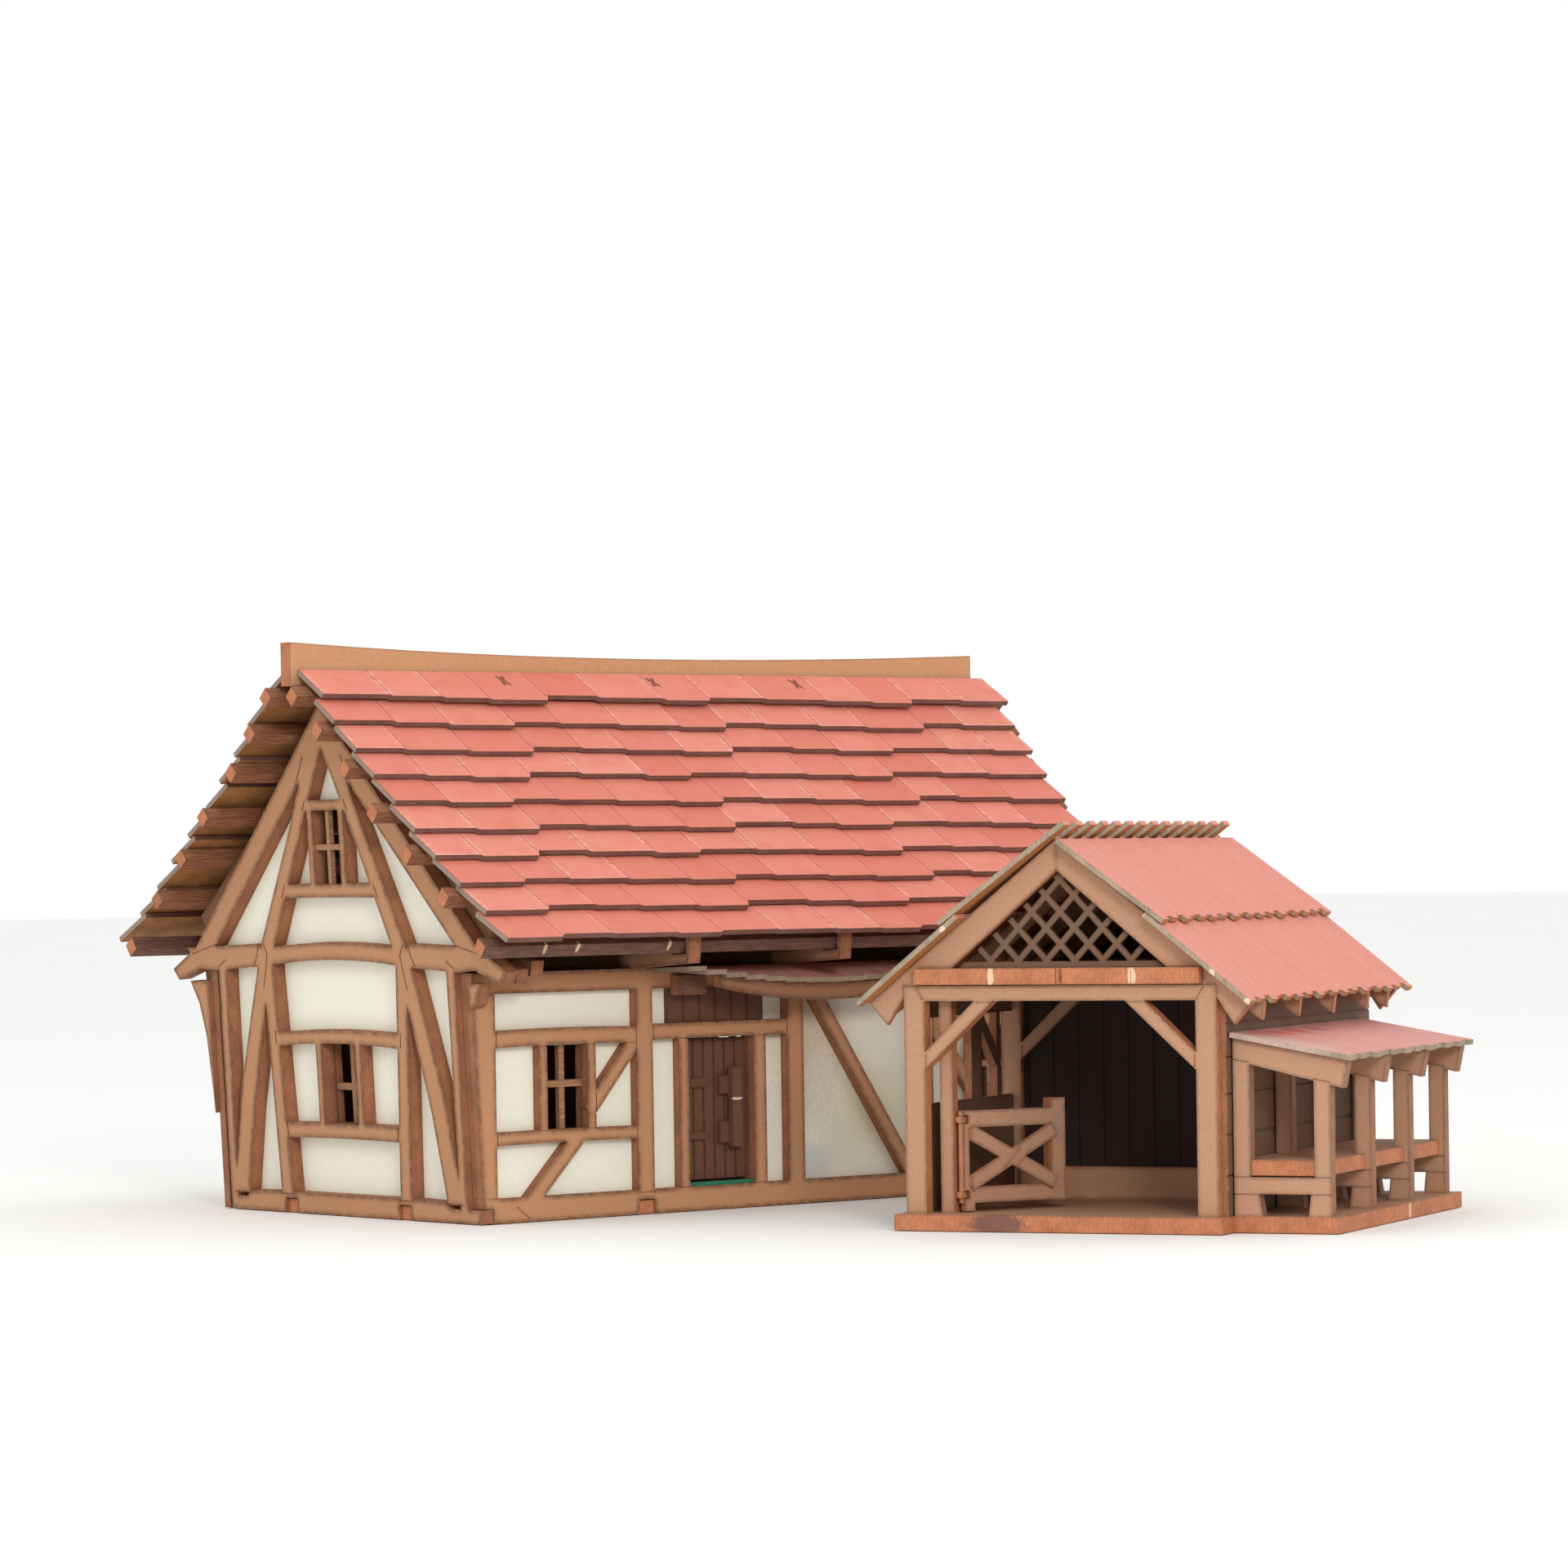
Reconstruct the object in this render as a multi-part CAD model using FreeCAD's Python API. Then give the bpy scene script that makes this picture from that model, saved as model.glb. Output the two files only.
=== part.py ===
import FreeCAD, Part
import math
import os

# Miniature timber-framed house with a free-standing open stable, as laser-cut sheet kits.
# Millimetres, +Z up. The origin is the middle of the house floor's underside, +X runs along
# the ridge and -Y is the side with the door.

V = FreeCAD.Vector
os.makedirs("parts", exist_ok=True)

# ------------------------------------------------------------------ driving sizes, house
house_length = 208.0        # over the gable faces at table level
house_depth = 118.6         # over the faces of the two long walls
wall_height = 64.8          # top of the long walls
gable_lean = 0.05           # how far each gable leans out per unit of height
long_frame = 2.8            # thickness of the timber sheet on a long wall
gable_frame = 4.0           # thickness of the doubled timber sheet on a gable
plaster = 0.6               # plaster card behind the timbers
core = 2.0                  # structural sheet behind the plaster
floor_sheet = 3.6
corner_set = 1.3            # a long wall's end stands this far inside the gable's face
fit_gap = 0.1               # glue gap between sheets that slot past each other

sill_height = 6.4
gable_sill = 5.2
corner_notch = 3.6          # height of the gable sill's end under the corner post
post_width = 5.7
rail_low = (20.0, 23.4)     # bottom and top of the rail under the windows
rail_high = (45.4, 49.8)    # and of the rail over them
plate_low = 59.3            # underside of the wall plate

door_left = -34.6           # edges of the door opening in the front timbers
door_right = -12.1
door_bottom = 7.9
lintel_low = 45.9
lintel_top = 50.0
window_left = -81.8         # opening of the long walls' windows, mirrored to the other bay
window_right = -68.4
jamb_width = 2.6
mid_post = -49.3            # middle of the post left of the door, mirrored too
door_post = 2.5             # middle of the post right of the door

# roof
eave_run = 84.9             # from the ridge's middle out to the roof line's end, level
ridge_z = 146.6             # roof line at the ridge
eave_z = 72.6               # roof line at the eave
roof_sag = 3.5              # dip of the slope at its middle, below the straight line
left_verge = 11.7           # the shingles' reach beyond the gable's foot, at the left eave
roof_left = -house_length / 2 - left_verge
roof_left_lean = 4.3        # its extra length at the ridge
right_verge = 9.5           # and at the right eave
roof_right = house_length / 2 + right_verge
roof_right_lean = 11.0      # the right verge's extra length at the ridge
row_count = 10
row_rise = 7.0              # upright distance from one strip's lower edge to the next
tile = 1.4                  # thickness of a shingle strip
tile_lap = 2.8              # overlap of one strip on the next
tile_lift = 2.3             # how far a strip's lower edge stands off the roof line
first_lift = 3.0            # the same for the strip beside the ridge board
first_drop = 1.6            # how far below the roof line's peak that strip starts
first_lap = 3.6             # and its overlap on the second strip
purlin = 3.8
purlin_stations = (0.088, 0.198, 0.323, 0.475, 0.625, 0.787)
purlin_out = 3.8            # a purlin's end beyond the shingles
eave_bar_in = 5.1           # middle of the eave purlin, in from the roof line's end
eave_bar_out = eave_run - eave_bar_in
eave_bar_up = 71.6          # and above the table
eave_bar_share = 0.94       # the place on the slope whose steepness it takes
ridge_board = 4.2           # thickness of the ridge board
ridge_left_reach = 17.0     # the ridge board's ends beyond the gables' feet
ridge_right_reach = 15.2
ridge_left = -house_length / 2 - ridge_left_reach
ridge_right = house_length / 2 + ridge_right_reach
ridge_seat = 0.24           # gap under the ridge board, over the gables' peaks
ridge_top = 152.0           # its top at the left end
former_stations = (-46.5, 5.2, 56.6)
gable_reach = 0.83          # how far down the slope the gables carry the purlins
former_reach = 0.73         # and the roof's own formers

# ------------------------------------------------------------------ driving sizes, stable
shed_x = -51.9              # the base's front left corner
shed_y = -161.3
shed_turn = -63.5           # direction of the stable's front, degrees from +X
shed_width = 86.2
shed_length = 126.0
base = 4.0                  # thickness of the base
lean_width = 27.0
lean_front = 8.5
lean_length = 103.5
shed_frame = 4.0            # thickness of a cross frame
front_face = 3.5            # the front frame's face behind the base's edge
shed_post = 5.4
post_margin = 2.0           # a frame's post in from the base's side
lintel_under = 57.0
lintel_over = 60.8
inner_face = 70.0           # face of the frame at the back of the open bay
rear_face = 119.0           # face of the rear frame
side_sheet = 2.4
loft_low = 61.1
loft_top = 65.1
loft_in = 5.5               # the loft board in from the base's side
loft_front = 1.3
shed_ridge = 97.0           # roof line at the stable's ridge
shed_eave = 55.8            # and at its eaves
shed_eave_run = 51.3        # from the middle out to an eave
shed_roof_front = -2.0
shed_roof_rear = 130.0
shed_tile = 1.3
barge_width = 6.6           # upright height of a gable board
gate_length = 30.3
gate_turn = 53.5            # how far the gate stands open behind the front's line
gate_sheet = 2.0

PARTS = {}


def keep(name, *shapes):
    """Adds solids to a named piece; a list becomes separate solids of one file."""
    PARTS.setdefault(name, []).extend(shapes)


def box(x0, x1, y0, y1, z0, z1):
    return Part.makeBox(x1 - x0, y1 - y0, z1 - z0, V(x0, y0, z0))


def sheet(points, y0, y1):
    """A plate cut to an outline of (x, z) points, standing from y0 to y1."""
    loop = [V(x, y0, z) for x, z in points]
    face = Part.Face(Part.makePolygon(loop + [loop[0]]))
    return face.extrude(V(0, y1 - y0, 0))


def plate(points, z0, z1):
    """A plate cut to an outline of (x, y) points, lying from z0 to z1."""
    loop = [V(x, y, z0) for x, y in points]
    face = Part.Face(Part.makePolygon(loop + [loop[0]]))
    return face.extrude(V(0, 0, z1 - z0))


def mirrored(points):
    return [(-x, z) for x, z in reversed(points)]


def timber(start, end, width):
    """Outline of a straight timber between two (x, z) points."""
    dx = end[0] - start[0]
    dz = end[1] - start[1]
    size = math.hypot(dx, dz)
    nx = -dz / size * width / 2
    nz = dx / size * width / 2
    return [(start[0] + nx, start[1] + nz), (start[0] - nx, start[1] - nz),
            (end[0] - nx, end[1] - nz), (end[0] + nx, end[1] + nz)]


def arch(x0, x1, low, high, rise):
    """Outline of a rail whose top and bottom bow upwards by rise."""
    steps = 8
    under = []
    over = []
    for i in range(steps + 1):
        u = i / steps
        lift = 4 * rise * u * (1 - u)
        under.append((x0 + (x1 - x0) * u, low + lift))
        over.append((x0 + (x1 - x0) * u, high + lift))
    return under + over[::-1]


def joined(outlines, y0, y1):
    """One sheet from overlapping outlines."""
    solids = [sheet(points, y0, y1) for points in outlines]
    whole = solids[0].multiFuse(solids[1:])
    return whole.removeSplitter().Solids[0]


def cut(shape, tools):
    return shape.cut(Part.makeCompound(tools)) if tools else shape


def scored(shape, lines, depth=0.3, width=0.4):
    """Cuts shallow burnt lines, each between two (x, z) points, into the face at y = 0."""
    tools = [sheet(timber(a, b, width), -0.5, depth) for a, b in lines]
    return cut(shape, tools)


def moved(shape, turn, x, y, lean=0.0):
    """Stands a wall made face-on at y = 0: tips it out at the top, turns it and moves it."""
    copy = shape.copy()
    copy.rotate(V(0, 0, 0), V(1, 0, 0), math.degrees(math.atan(lean)))
    copy.rotate(V(0, 0, 0), V(0, 0, 1), turn)
    copy.translate(V(x, y, 0))
    return copy


def front(shape):
    return moved(shape, 0, 0, -house_depth / 2)


def back(shape):
    return moved(shape, 180, 0, house_depth / 2)


def left_gable(shape):
    return moved(shape, -90, -house_length / 2, 0, gable_lean)


def right_gable(shape):
    return moved(shape, 90, house_length / 2, 0, gable_lean)


def in_shed(shape):
    copy = shape.copy()
    copy.rotate(V(0, 0, 0), V(0, 0, 1), shed_turn)
    copy.translate(V(shed_x, shed_y, 0))
    return copy


# ------------------------------------------------------------------ the long walls
long_core = long_frame + plaster             # depth at which a long wall's core starts
long_wall = long_core + core
gable_core = gable_frame + plaster
gable_wall = gable_core + core
inner_half = house_depth / 2 - long_wall     # from the middle to a long wall's inside


def wall_end(z):
    """Half-length of a long wall at a height: its ends lean with the gables."""
    return house_length / 2 - corner_set + gable_lean * z


def wall_outline(grow=0.0, notched=True):
    """Outline of a long wall; the front one is notched at its feet for the gable sills."""
    if not notched:
        side = [(wall_end(0) + grow, 0), (wall_end(wall_height) + grow, wall_height)]
        return side + mirrored(side)
    foot = house_length / 2 - gable_frame - fit_gap
    notch = corner_notch + 3 * fit_gap
    side = [(foot, 0), (foot, notch), (wall_end(notch) + grow, notch),
            (wall_end(wall_height) + grow, wall_height)]
    return side + mirrored(side)


def window_openings(y0, y1, grow=0.0):
    tools = []
    for sign in (1, -1):
        a, b = sorted((sign * window_left, sign * window_right))
        tools.append(box(a - grow, b + grow, y0, y1, rail_low[1] - grow, rail_high[0] + grow))
    return tools


def bay_timbers(sign, far):
    """Timbers of one window bay, between a corner post and the post at far."""
    end = wall_end(0) - 1.5
    left = window_left
    right = window_right
    bay = [arch(-end, -far, rail_high[0] - 0.2, rail_high[1] - 0.2, 0.4),
           arch(-end, -far, rail_low[0], rail_low[1], 0.2),
           [(left - jamb_width, rail_low[0] + 1), (left, rail_low[0] + 1),
            (left, rail_high[1] - 1), (left - jamb_width, rail_high[1] - 1)],
           [(right, rail_low[0] + 1), (right + jamb_width, rail_low[0] + 1),
            (right + jamb_width, rail_high[1] - 1), (right, rail_high[1] - 1)],
           timber((right + 0.5, rail_low[1] + 4.5), (-far + 0.6, rail_high[0] + 1.5), 3.9),
           timber((left - 6.8, 3.9), (right - 3.4, rail_low[0] + 1), 4.1)]
    if sign > 0:
        return [mirrored(points) for points in bay]
    return bay


def long_timbers(with_door):
    inner = -mid_post - post_width / 2
    corner = [(wall_end(0) - 4.5, 0.5), (wall_end(corner_notch) - 0.1, 0.5),
              (wall_end(wall_height), wall_height), (wall_end(0) - 4.2, wall_height)]
    foot = wall_end(0) + 1
    pieces = [[(-foot, 0), (foot, 0), (foot, sill_height), (-foot, sill_height)],
              corner, mirrored(corner),
              [(-wall_end(plate_low), plate_low), (wall_end(plate_low), plate_low),
               (wall_end(wall_height), wall_height), (-wall_end(wall_height), wall_height)]]
    posts = [mid_post, -mid_post]
    if with_door:
        posts.append(door_post)
        pieces.append([(mid_post, lintel_low), (door_post, lintel_low),
                       (door_post, lintel_top), (mid_post, lintel_top)])
        for x0, x1 in ((door_left - 3.1, door_left), (door_right, door_right + 4.2)):
            pieces.append([(x0, 3), (x1, 3), (x1, lintel_top - 1), (x0, lintel_top - 1)])
        pieces.append(timber((door_post + 5.0, plate_low + 1.0), (-mid_post - 4.4, 4.8), 4.0))
    else:
        posts.append(0.0)
        for sign in (1, -1):
            pieces.append(timber((sign * 3.0, plate_low + 1.0), (-sign * mid_post - sign * 3.4, 4.8), 4.0))
    for middle in posts:
        pieces.append([(middle - post_width / 2, 2), (middle + post_width / 2, 2),
                       (middle + post_width / 2, plate_low + 2), (middle - post_width / 2, plate_low + 2)])
    pieces += bay_timbers(-1, inner + post_width)
    pieces += bay_timbers(1, inner + post_width)
    return pieces


def bay_scores(sign):
    """Burnt joint lines of one window bay."""
    far = mid_post - post_width / 2
    end = wall_end(0) - 4.4
    lines = [((-end, sill_height), (-end, plate_low)),
             ((far, sill_height), (far, plate_low)),
             ((far + post_width, sill_height), (far + post_width, plate_low)),
             ((window_left - jamb_width, rail_low[1]), (window_right + jamb_width, rail_low[1])),
             ((window_left - jamb_width, rail_high[0]), (window_right + jamb_width, rail_high[0])),
             ((window_right + jamb_width, rail_low[1] + 3.5),
              (window_right + jamb_width, rail_low[1] + 9.2)),
             ((far - 4.4, rail_high[0]), (far, rail_high[0])),
             ((window_left - 10.6, 4.0), (window_left - 6.6, 0.9)),
             ((-end - 3.0, sill_height), (-end, sill_height)),
             ((far, sill_height - 0.6), (far + post_width, sill_height - 0.6)),
             ((-end - 5.0, plate_low), (far, plate_low))]
    if sign > 0:
        lines = [((-a[0], a[1]), (-b[0], b[1])) for a, b in lines]
    return lines


def trim_to_wall(shape, y0, y1, notched):
    return shape.common(sheet(wall_outline(0.0, notched), y0, y1)).Solids[0]


def tab_notches(stations, y0, y1):
    """Sockets at the foot of a wall, where the floor's tabs come through."""
    return [box(x - 2.6 - fit_gap, x + 2.6 + fit_gap, y0, y1, -1.0,
                floor_sheet + 3 * fit_gap) for x in stations]


floor_tabs_long = (mid_post, -mid_post)


def long_wall_sheets(with_door):
    timbers = trim_to_wall(joined(long_timbers(with_door), 0, long_frame), 0, long_frame, with_door)
    lines = bay_scores(-1) + bay_scores(1)
    if with_door:
        lines += [((door_post - post_width / 2, sill_height), (door_post - post_width / 2, plate_low)),
                  ((door_left - 3.1, lintel_low), (door_left, lintel_low)),
                  ((door_right, lintel_low), (door_right + 4.2, lintel_low)),
                  ((door_right, sill_height), (door_right + 4.2, sill_height)),
                  ((door_left - 3.1, sill_height), (door_left, sill_height))]
    timbers = scored(timbers, lines)
    timbers = cut(timbers, tab_notches(floor_tabs_long, -1, long_frame + 1))
    card = sheet(wall_outline(-1.0, with_door), long_frame, long_core)
    body = sheet(wall_outline(-0.5, with_door), long_core, long_wall)
    openings = window_openings(-1, long_wall + 1)
    through = openings + tab_notches(floor_tabs_long, -1, long_wall + 1)
    if with_door:
        doorway = box(door_left, door_right, long_frame, long_wall + 1, sill_height, lintel_low)
        through.append(doorway)
    return timbers, cut(card, through), cut(body, through)


# ------------------------------------------------------------------ the roof line
def roof_line(u, offset=0.0):
    """Point (out, up) on a slope: u runs from the ridge (0) to the eave (1)."""
    drop = ridge_z - eave_z
    out = eave_run * u
    up = ridge_z - drop * u - 4 * roof_sag * u * (1 - u)
    steep = math.atan2(drop + 4 * roof_sag * (1 - 2 * u), eave_run)
    return out - offset * math.sin(steep), up - offset * math.cos(steep), steep


def row_share(row):
    """Where on the slope (0 ridge, 1 eave) a strip starts: their edges are level by equal steps."""
    if row == 0:
        return 0.0
    fall = ridge_z - eave_z - row_rise * (row_count - row)
    rate = ridge_z - eave_z + 4 * roof_sag
    return (rate - math.sqrt(rate ** 2 - 16 * roof_sag * fall)) / (8 * roof_sag)


under_purlins = purlin + 0.6
# underside of the ridge board
ridge_low = ridge_z - under_purlins / math.cos(roof_line(0)[2]) + ridge_seat


def under_roof(u_end, steps=9):
    """Half outline of what stands under the purlins, from the ridge out."""
    points = []
    for i in range(steps + 1):
        out, up, steep = roof_line(u_end * i / steps, under_purlins)
        if out >= 0:
            points.append((out, up))
    first = points[0]
    slope = (points[1][1] - first[1]) / (points[1][0] - first[0])
    return [(0.0, first[1] - slope * first[0])] + points


# ------------------------------------------------------------------ the gables
leg_foot = 49.0             # middle of the long leaning legs at the sill
leg_foot_z = 4.6
gable_post_foot = 27.0
gable_post_top = 30.6
tie_low = 66.6
tie_top = 72.4
attic_window = (6.0, 88.2, 107.9)
gable_window = (7.7, 24.3, 45.5)
attic_rail = (84.6, 88.2)
top_rail = (107.9, 110.6)
barge_slope_foot = (64.3, 71.4)
barge_top = 136.0
leg_width = 6.2


def gable_shape():
    """Outline of a gable's core: wall to the tie beam, then the space under the roof."""
    rake = under_roof(gable_reach)
    shoulder = wall_height + fit_gap
    half = [(inner_half - fit_gap, 0), (inner_half - fit_gap, shoulder), (house_depth / 2 + 1, shoulder + 1)]
    half += rake[:0:-1]
    return half + [rake[0]] + mirrored(half)


def leg(sign):
    """One of the two long legs, bowed inwards a little, foot to apex."""
    outer = [(52.0, leg_foot_z), (46.2, 33.0), (40.3, 51.0), (33.3, 71.5), (26.2, 85.0), (16.2, 104.0),
             (3.5, 131.0)]
    inner = [(0.0, 124.4), (8.0, 109.4), (20.0, 85.6), (29.0, 67.4), (34.6, 49.0), (40.6, 28.0),
             (45.4, leg_foot_z)]
    points = outer + [(0.0, 134.0)] + inner
    return points if sign > 0 else mirrored(points)


def barge(sign):
    """The outer rafter on a gable's face, with its kicked-out foot."""
    foot_out, foot_up = barge_slope_foot
    points = [(0.0, barge_top), (foot_out, foot_up), (76.0, 65.4), (73.4, 62.4), (64.6, 62.4 + 2.5),
              (60.0, 66.8), (54.2, 72.4), (0.0, barge_top - 9.3)]
    return points if sign > 0 else mirrored(points)


def corner_stile(sign):
    """Narrow stile between the plaster and the long wall's end."""
    edge = inner_half - fit_gap
    points = [(edge - 2.9, 3.0), (edge, 3.0), (edge, tie_top - 4), (edge - 3.6, tie_top - 4)]
    return points if sign > 0 else mirrored(points)


def gable_timbers():
    half = house_depth / 2
    sill_side = [(inner_half, corner_notch), (46.5, corner_notch), (44.5, gable_sill),
                 (31.0, gable_sill + 0.4),
                 (29.0, corner_notch + 0.8), (24.8, corner_notch + 0.8), (23.6, gable_sill + 0.3)]
    near = [(half, 0), (half, corner_notch)] + sill_side
    far = [(inner_half - fit_gap, 0)] + sill_side[1:]
    far[1:1] = [(inner_half - fit_gap, corner_notch)]
    pieces = [near + mirrored(far)]
    for sign in (1, -1):
        pieces.append(leg(sign))
        pieces.append(barge(sign))
        pieces.append(corner_stile(sign))
        side = [(gable_post_foot - 2.5, 3.0), (gable_post_foot + 2.6, 3.0),
                (gable_post_top + 2.2, tie_low + 1), (gable_post_top - 2.4, tie_low + 1)]
        pieces.append(side if sign > 0 else mirrored(side))
        end = [(31.5, tie_low - 0.2), (56.0, wall_height + 0.3), (63.0, wall_height + 0.9),
               (68.6, 71.2), (34.0, tie_top)]
        pieces.append(end if sign > 0 else mirrored(end))
    window_half, window_low, window_high = gable_window
    attic_half, attic_low, attic_high = attic_window
    pieces += [arch(-30.6, 30.6, tie_low, tie_top - 1.2, 1.6),
               arch(-27.5, 27.5, window_high - 0.6, window_high + 3.0, 1.0),
               arch(-25.5, 25.5, window_low - 4.0, window_low, 0.3),
               arch(-24.0, 24.0, attic_rail[0], attic_rail[1], 0.2),
               [(-12.5, top_rail[0]), (12.5, top_rail[0]), (12.0, top_rail[1]), (-12.0, top_rail[1])]]
    for sign in (1, -1):
        for half_width, low, high, wide in ((window_half, window_low, window_high, 2.4),
                                            (attic_half, attic_low, attic_high, 2.2)):
            jamb = [(half_width, low - 1), (half_width + wide, low - 1), (half_width + wide, high + 1),
                    (half_width, high + 1)]
            pieces.append(jamb if sign > 0 else mirrored(jamb))
    return pieces


def gable_windows(y0, y1):
    tools = []
    for half, low, high in (gable_window, attic_window):
        tools.append(box(-half, half, y0, y1, low, high))
    return tools


def gable_scores():
    lines = []
    for sign in (1, -1):
        side = [((52.2, corner_notch + 1.2), (44.5, corner_notch + 1.2)),
                ((24.4, 5.0), (29.8, 5.0)),
                ((32.8, tie_low - 6), (31.0, tie_low)), ((31.0, tie_low), (30.4, 69.5)), ((30.4, 69.5),
                                                                                          (31.8,
                                                                                           tie_top - 0.2)),
                ((36.8, tie_low), (35.0, 69.5)), ((35.0, 69.5), (34.2, tie_top)),
                ((28.3, 45.2), (28.6, 49.0)), ((24.9, 20.4), (25.4, 24.2)),
                ((22.0, attic_rail[0]), (20.2, attic_rail[1])),
                ((10.2, top_rail[0]), (8.8, top_rail[1])),
                ((54.5, 72.2), (66.0, 69.6)), ((8.6, 122.4), (10.6, 118.5)), ((10.6, 118.5), (25.0, 90.0)),
                ((inner_half - 0.1, 66.0), (inner_half - 3.6, 68.0))]
        lines += [((sign * a[0], a[1]), (sign * b[0], b[1])) for a, b in side]
    return lines


floor_tabs_gable = (26.4, -25.4)


def gable_sheets():
    full = [(-90, -1), (90, -1), (90, 160), (-90, 160)]
    rake = under_roof(gable_reach)
    keep_in = [(house_depth / 2, 0), (house_depth / 2, corner_notch), (inner_half - fit_gap, corner_notch),
               (inner_half - fit_gap, wall_height + fit_gap), (80.0, wall_height + fit_gap - 6.0)]
    keep_in[-1] = (78.0, 58.0)
    keep_in.insert(-1, (house_depth / 2 + fit_gap, wall_height + fit_gap))
    keep_in.insert(-1, (house_depth / 2 + fit_gap, 58.0))
    top = [point for point in rake[:0:-1]]
    region = keep_in + [(82.0, 60.0), (82.0, 66.0)] + top
    region = region + [rake[0]] + mirrored(region)
    timbers = joined(gable_timbers(), 0, gable_frame).common(sheet(region, 0, gable_frame)).Solids[0]
    timbers = cut(timbers, gable_windows(-1, gable_frame + 1))
    timbers = scored(timbers, gable_scores())
    timbers = cut(timbers, tab_notches(floor_tabs_gable, -1, gable_frame + 1))
    card_half = [(inner_half - 1.0, 3.0), (inner_half - 1.0, wall_height + 2),
                 (barge_slope_foot[0] - 4.0, 69.0)]
    card = sheet(card_half + [(0.0, barge_top - 5.0)] + mirrored(card_half), gable_frame, gable_core)
    body = sheet(gable_shape(), gable_core, gable_wall)
    openings = gable_windows(-1, gable_wall + 1)
    notches = tab_notches(floor_tabs_gable, -1, gable_wall + 1)
    return timbers, cut(card, openings + notches), cut(body, openings + notches)


def swapped(shape):
    """The same gable sheet with its front and rear ends exchanged."""
    return shape.mirror(V(0, 0, 0), V(1, 0, 0))


def build_house_walls():
    timbers, card, body = long_wall_sheets(True)
    keep("front_wall_timbers", front(timbers))
    keep("front_wall_plaster", front(card))
    keep("front_wall_core", front(cut(body, [door_pin_hole()])))
    timbers, card, body = long_wall_sheets(False)
    keep("rear_wall_timbers", back(timbers))
    keep("rear_wall_plaster", back(card))
    keep("rear_wall_core", back(body))
    timbers, card, body = gable_sheets()
    keep("left_gable_timbers", left_gable(timbers))
    keep("left_gable_plaster", left_gable(card))
    keep("left_gable_core", left_gable(body))
    keep("right_gable_timbers", right_gable(swapped(timbers)))
    keep("right_gable_plaster", right_gable(swapped(card)))
    keep("right_gable_core", right_gable(swapped(body)))


def build_floor():
    half_x = house_length / 2 - gable_wall - fit_gap - 0.3
    half_y = inner_half - fit_gap
    panel = box(-half_x, half_x, -half_y, half_y, 0.0, floor_sheet)
    tabs = []
    for x in floor_tabs_long:
        for sign in (1, -1):
            a, b = sorted((sign * (half_y - 1), sign * (house_depth / 2 - 0.6)))
            tabs.append(box(x - 2.6, x + 2.6, a, b, 0.0, floor_sheet))
    for y in floor_tabs_gable:
        for sign in (1, -1):
            a, b = sorted((sign * (half_x - 1), sign * (house_length / 2 - 0.8)))
            tabs.append(box(a, b, -y - 2.6, -y + 2.6, 0.0, floor_sheet))
    keep("house_floor", panel.multiFuse(tabs).removeSplitter().Solids[0])


# ------------------------------------------------------------------ windows
def build_windows():
    bar = 1.9
    depth0 = long_frame
    depth1 = long_core
    for sign in (1, -1):
        a, b = sorted((sign * window_left, sign * window_right))
        middle = (a + b) / 2
        low = rail_low[1]
        high = rail_high[0]
        outlines = [[(middle - bar / 2, low), (middle + bar / 2, low), (middle + bar / 2, high),
                     (middle - bar / 2, high)],
                    [(a, low + 11), (b, low + 11), (b, low + 11 + bar), (a, low + 11 + bar)]]
        cross = joined(outlines, depth0, depth1 + 0.8)
        keep("window_bars", front(cross), back(cross))
    for (half, low, high), share, wide in ((gable_window, 0.46, 1.9), (attic_window, 0.5, 1.6)):
        level = low + (high - low) * share
        outlines = [[(-wide / 2, low), (wide / 2, low), (wide / 2, high), (-wide / 2, high)],
                    [(-half, level - wide / 2), (half, level - wide / 2), (half, level + wide / 2),
                     (-half, level + wide / 2)]]
        start = gable_core if half == gable_window[0] else 0.8
        cross = joined(outlines, start, start + 1.4)
        keep("window_bars", left_gable(cross), right_gable(cross))


# ------------------------------------------------------------------ the door
pin_radius = 0.6
pin_gap = 0.05
pin_x = door_left + 1.45
pin_depth = long_core + core / 2
leaf_thick = 1.6
leaf_gap = 0.35
strap_thick = 0.6
pull_width = 3.6
pull_low = 16.3
pull_high = 37.8
beam_end_left = -40.4
beam_end_width = 9.4


def door_pin_hole():
    return Part.makeCylinder(pin_radius + pin_gap, 3.0, V(pin_x, pin_depth, lintel_low - 0.5))


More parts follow.
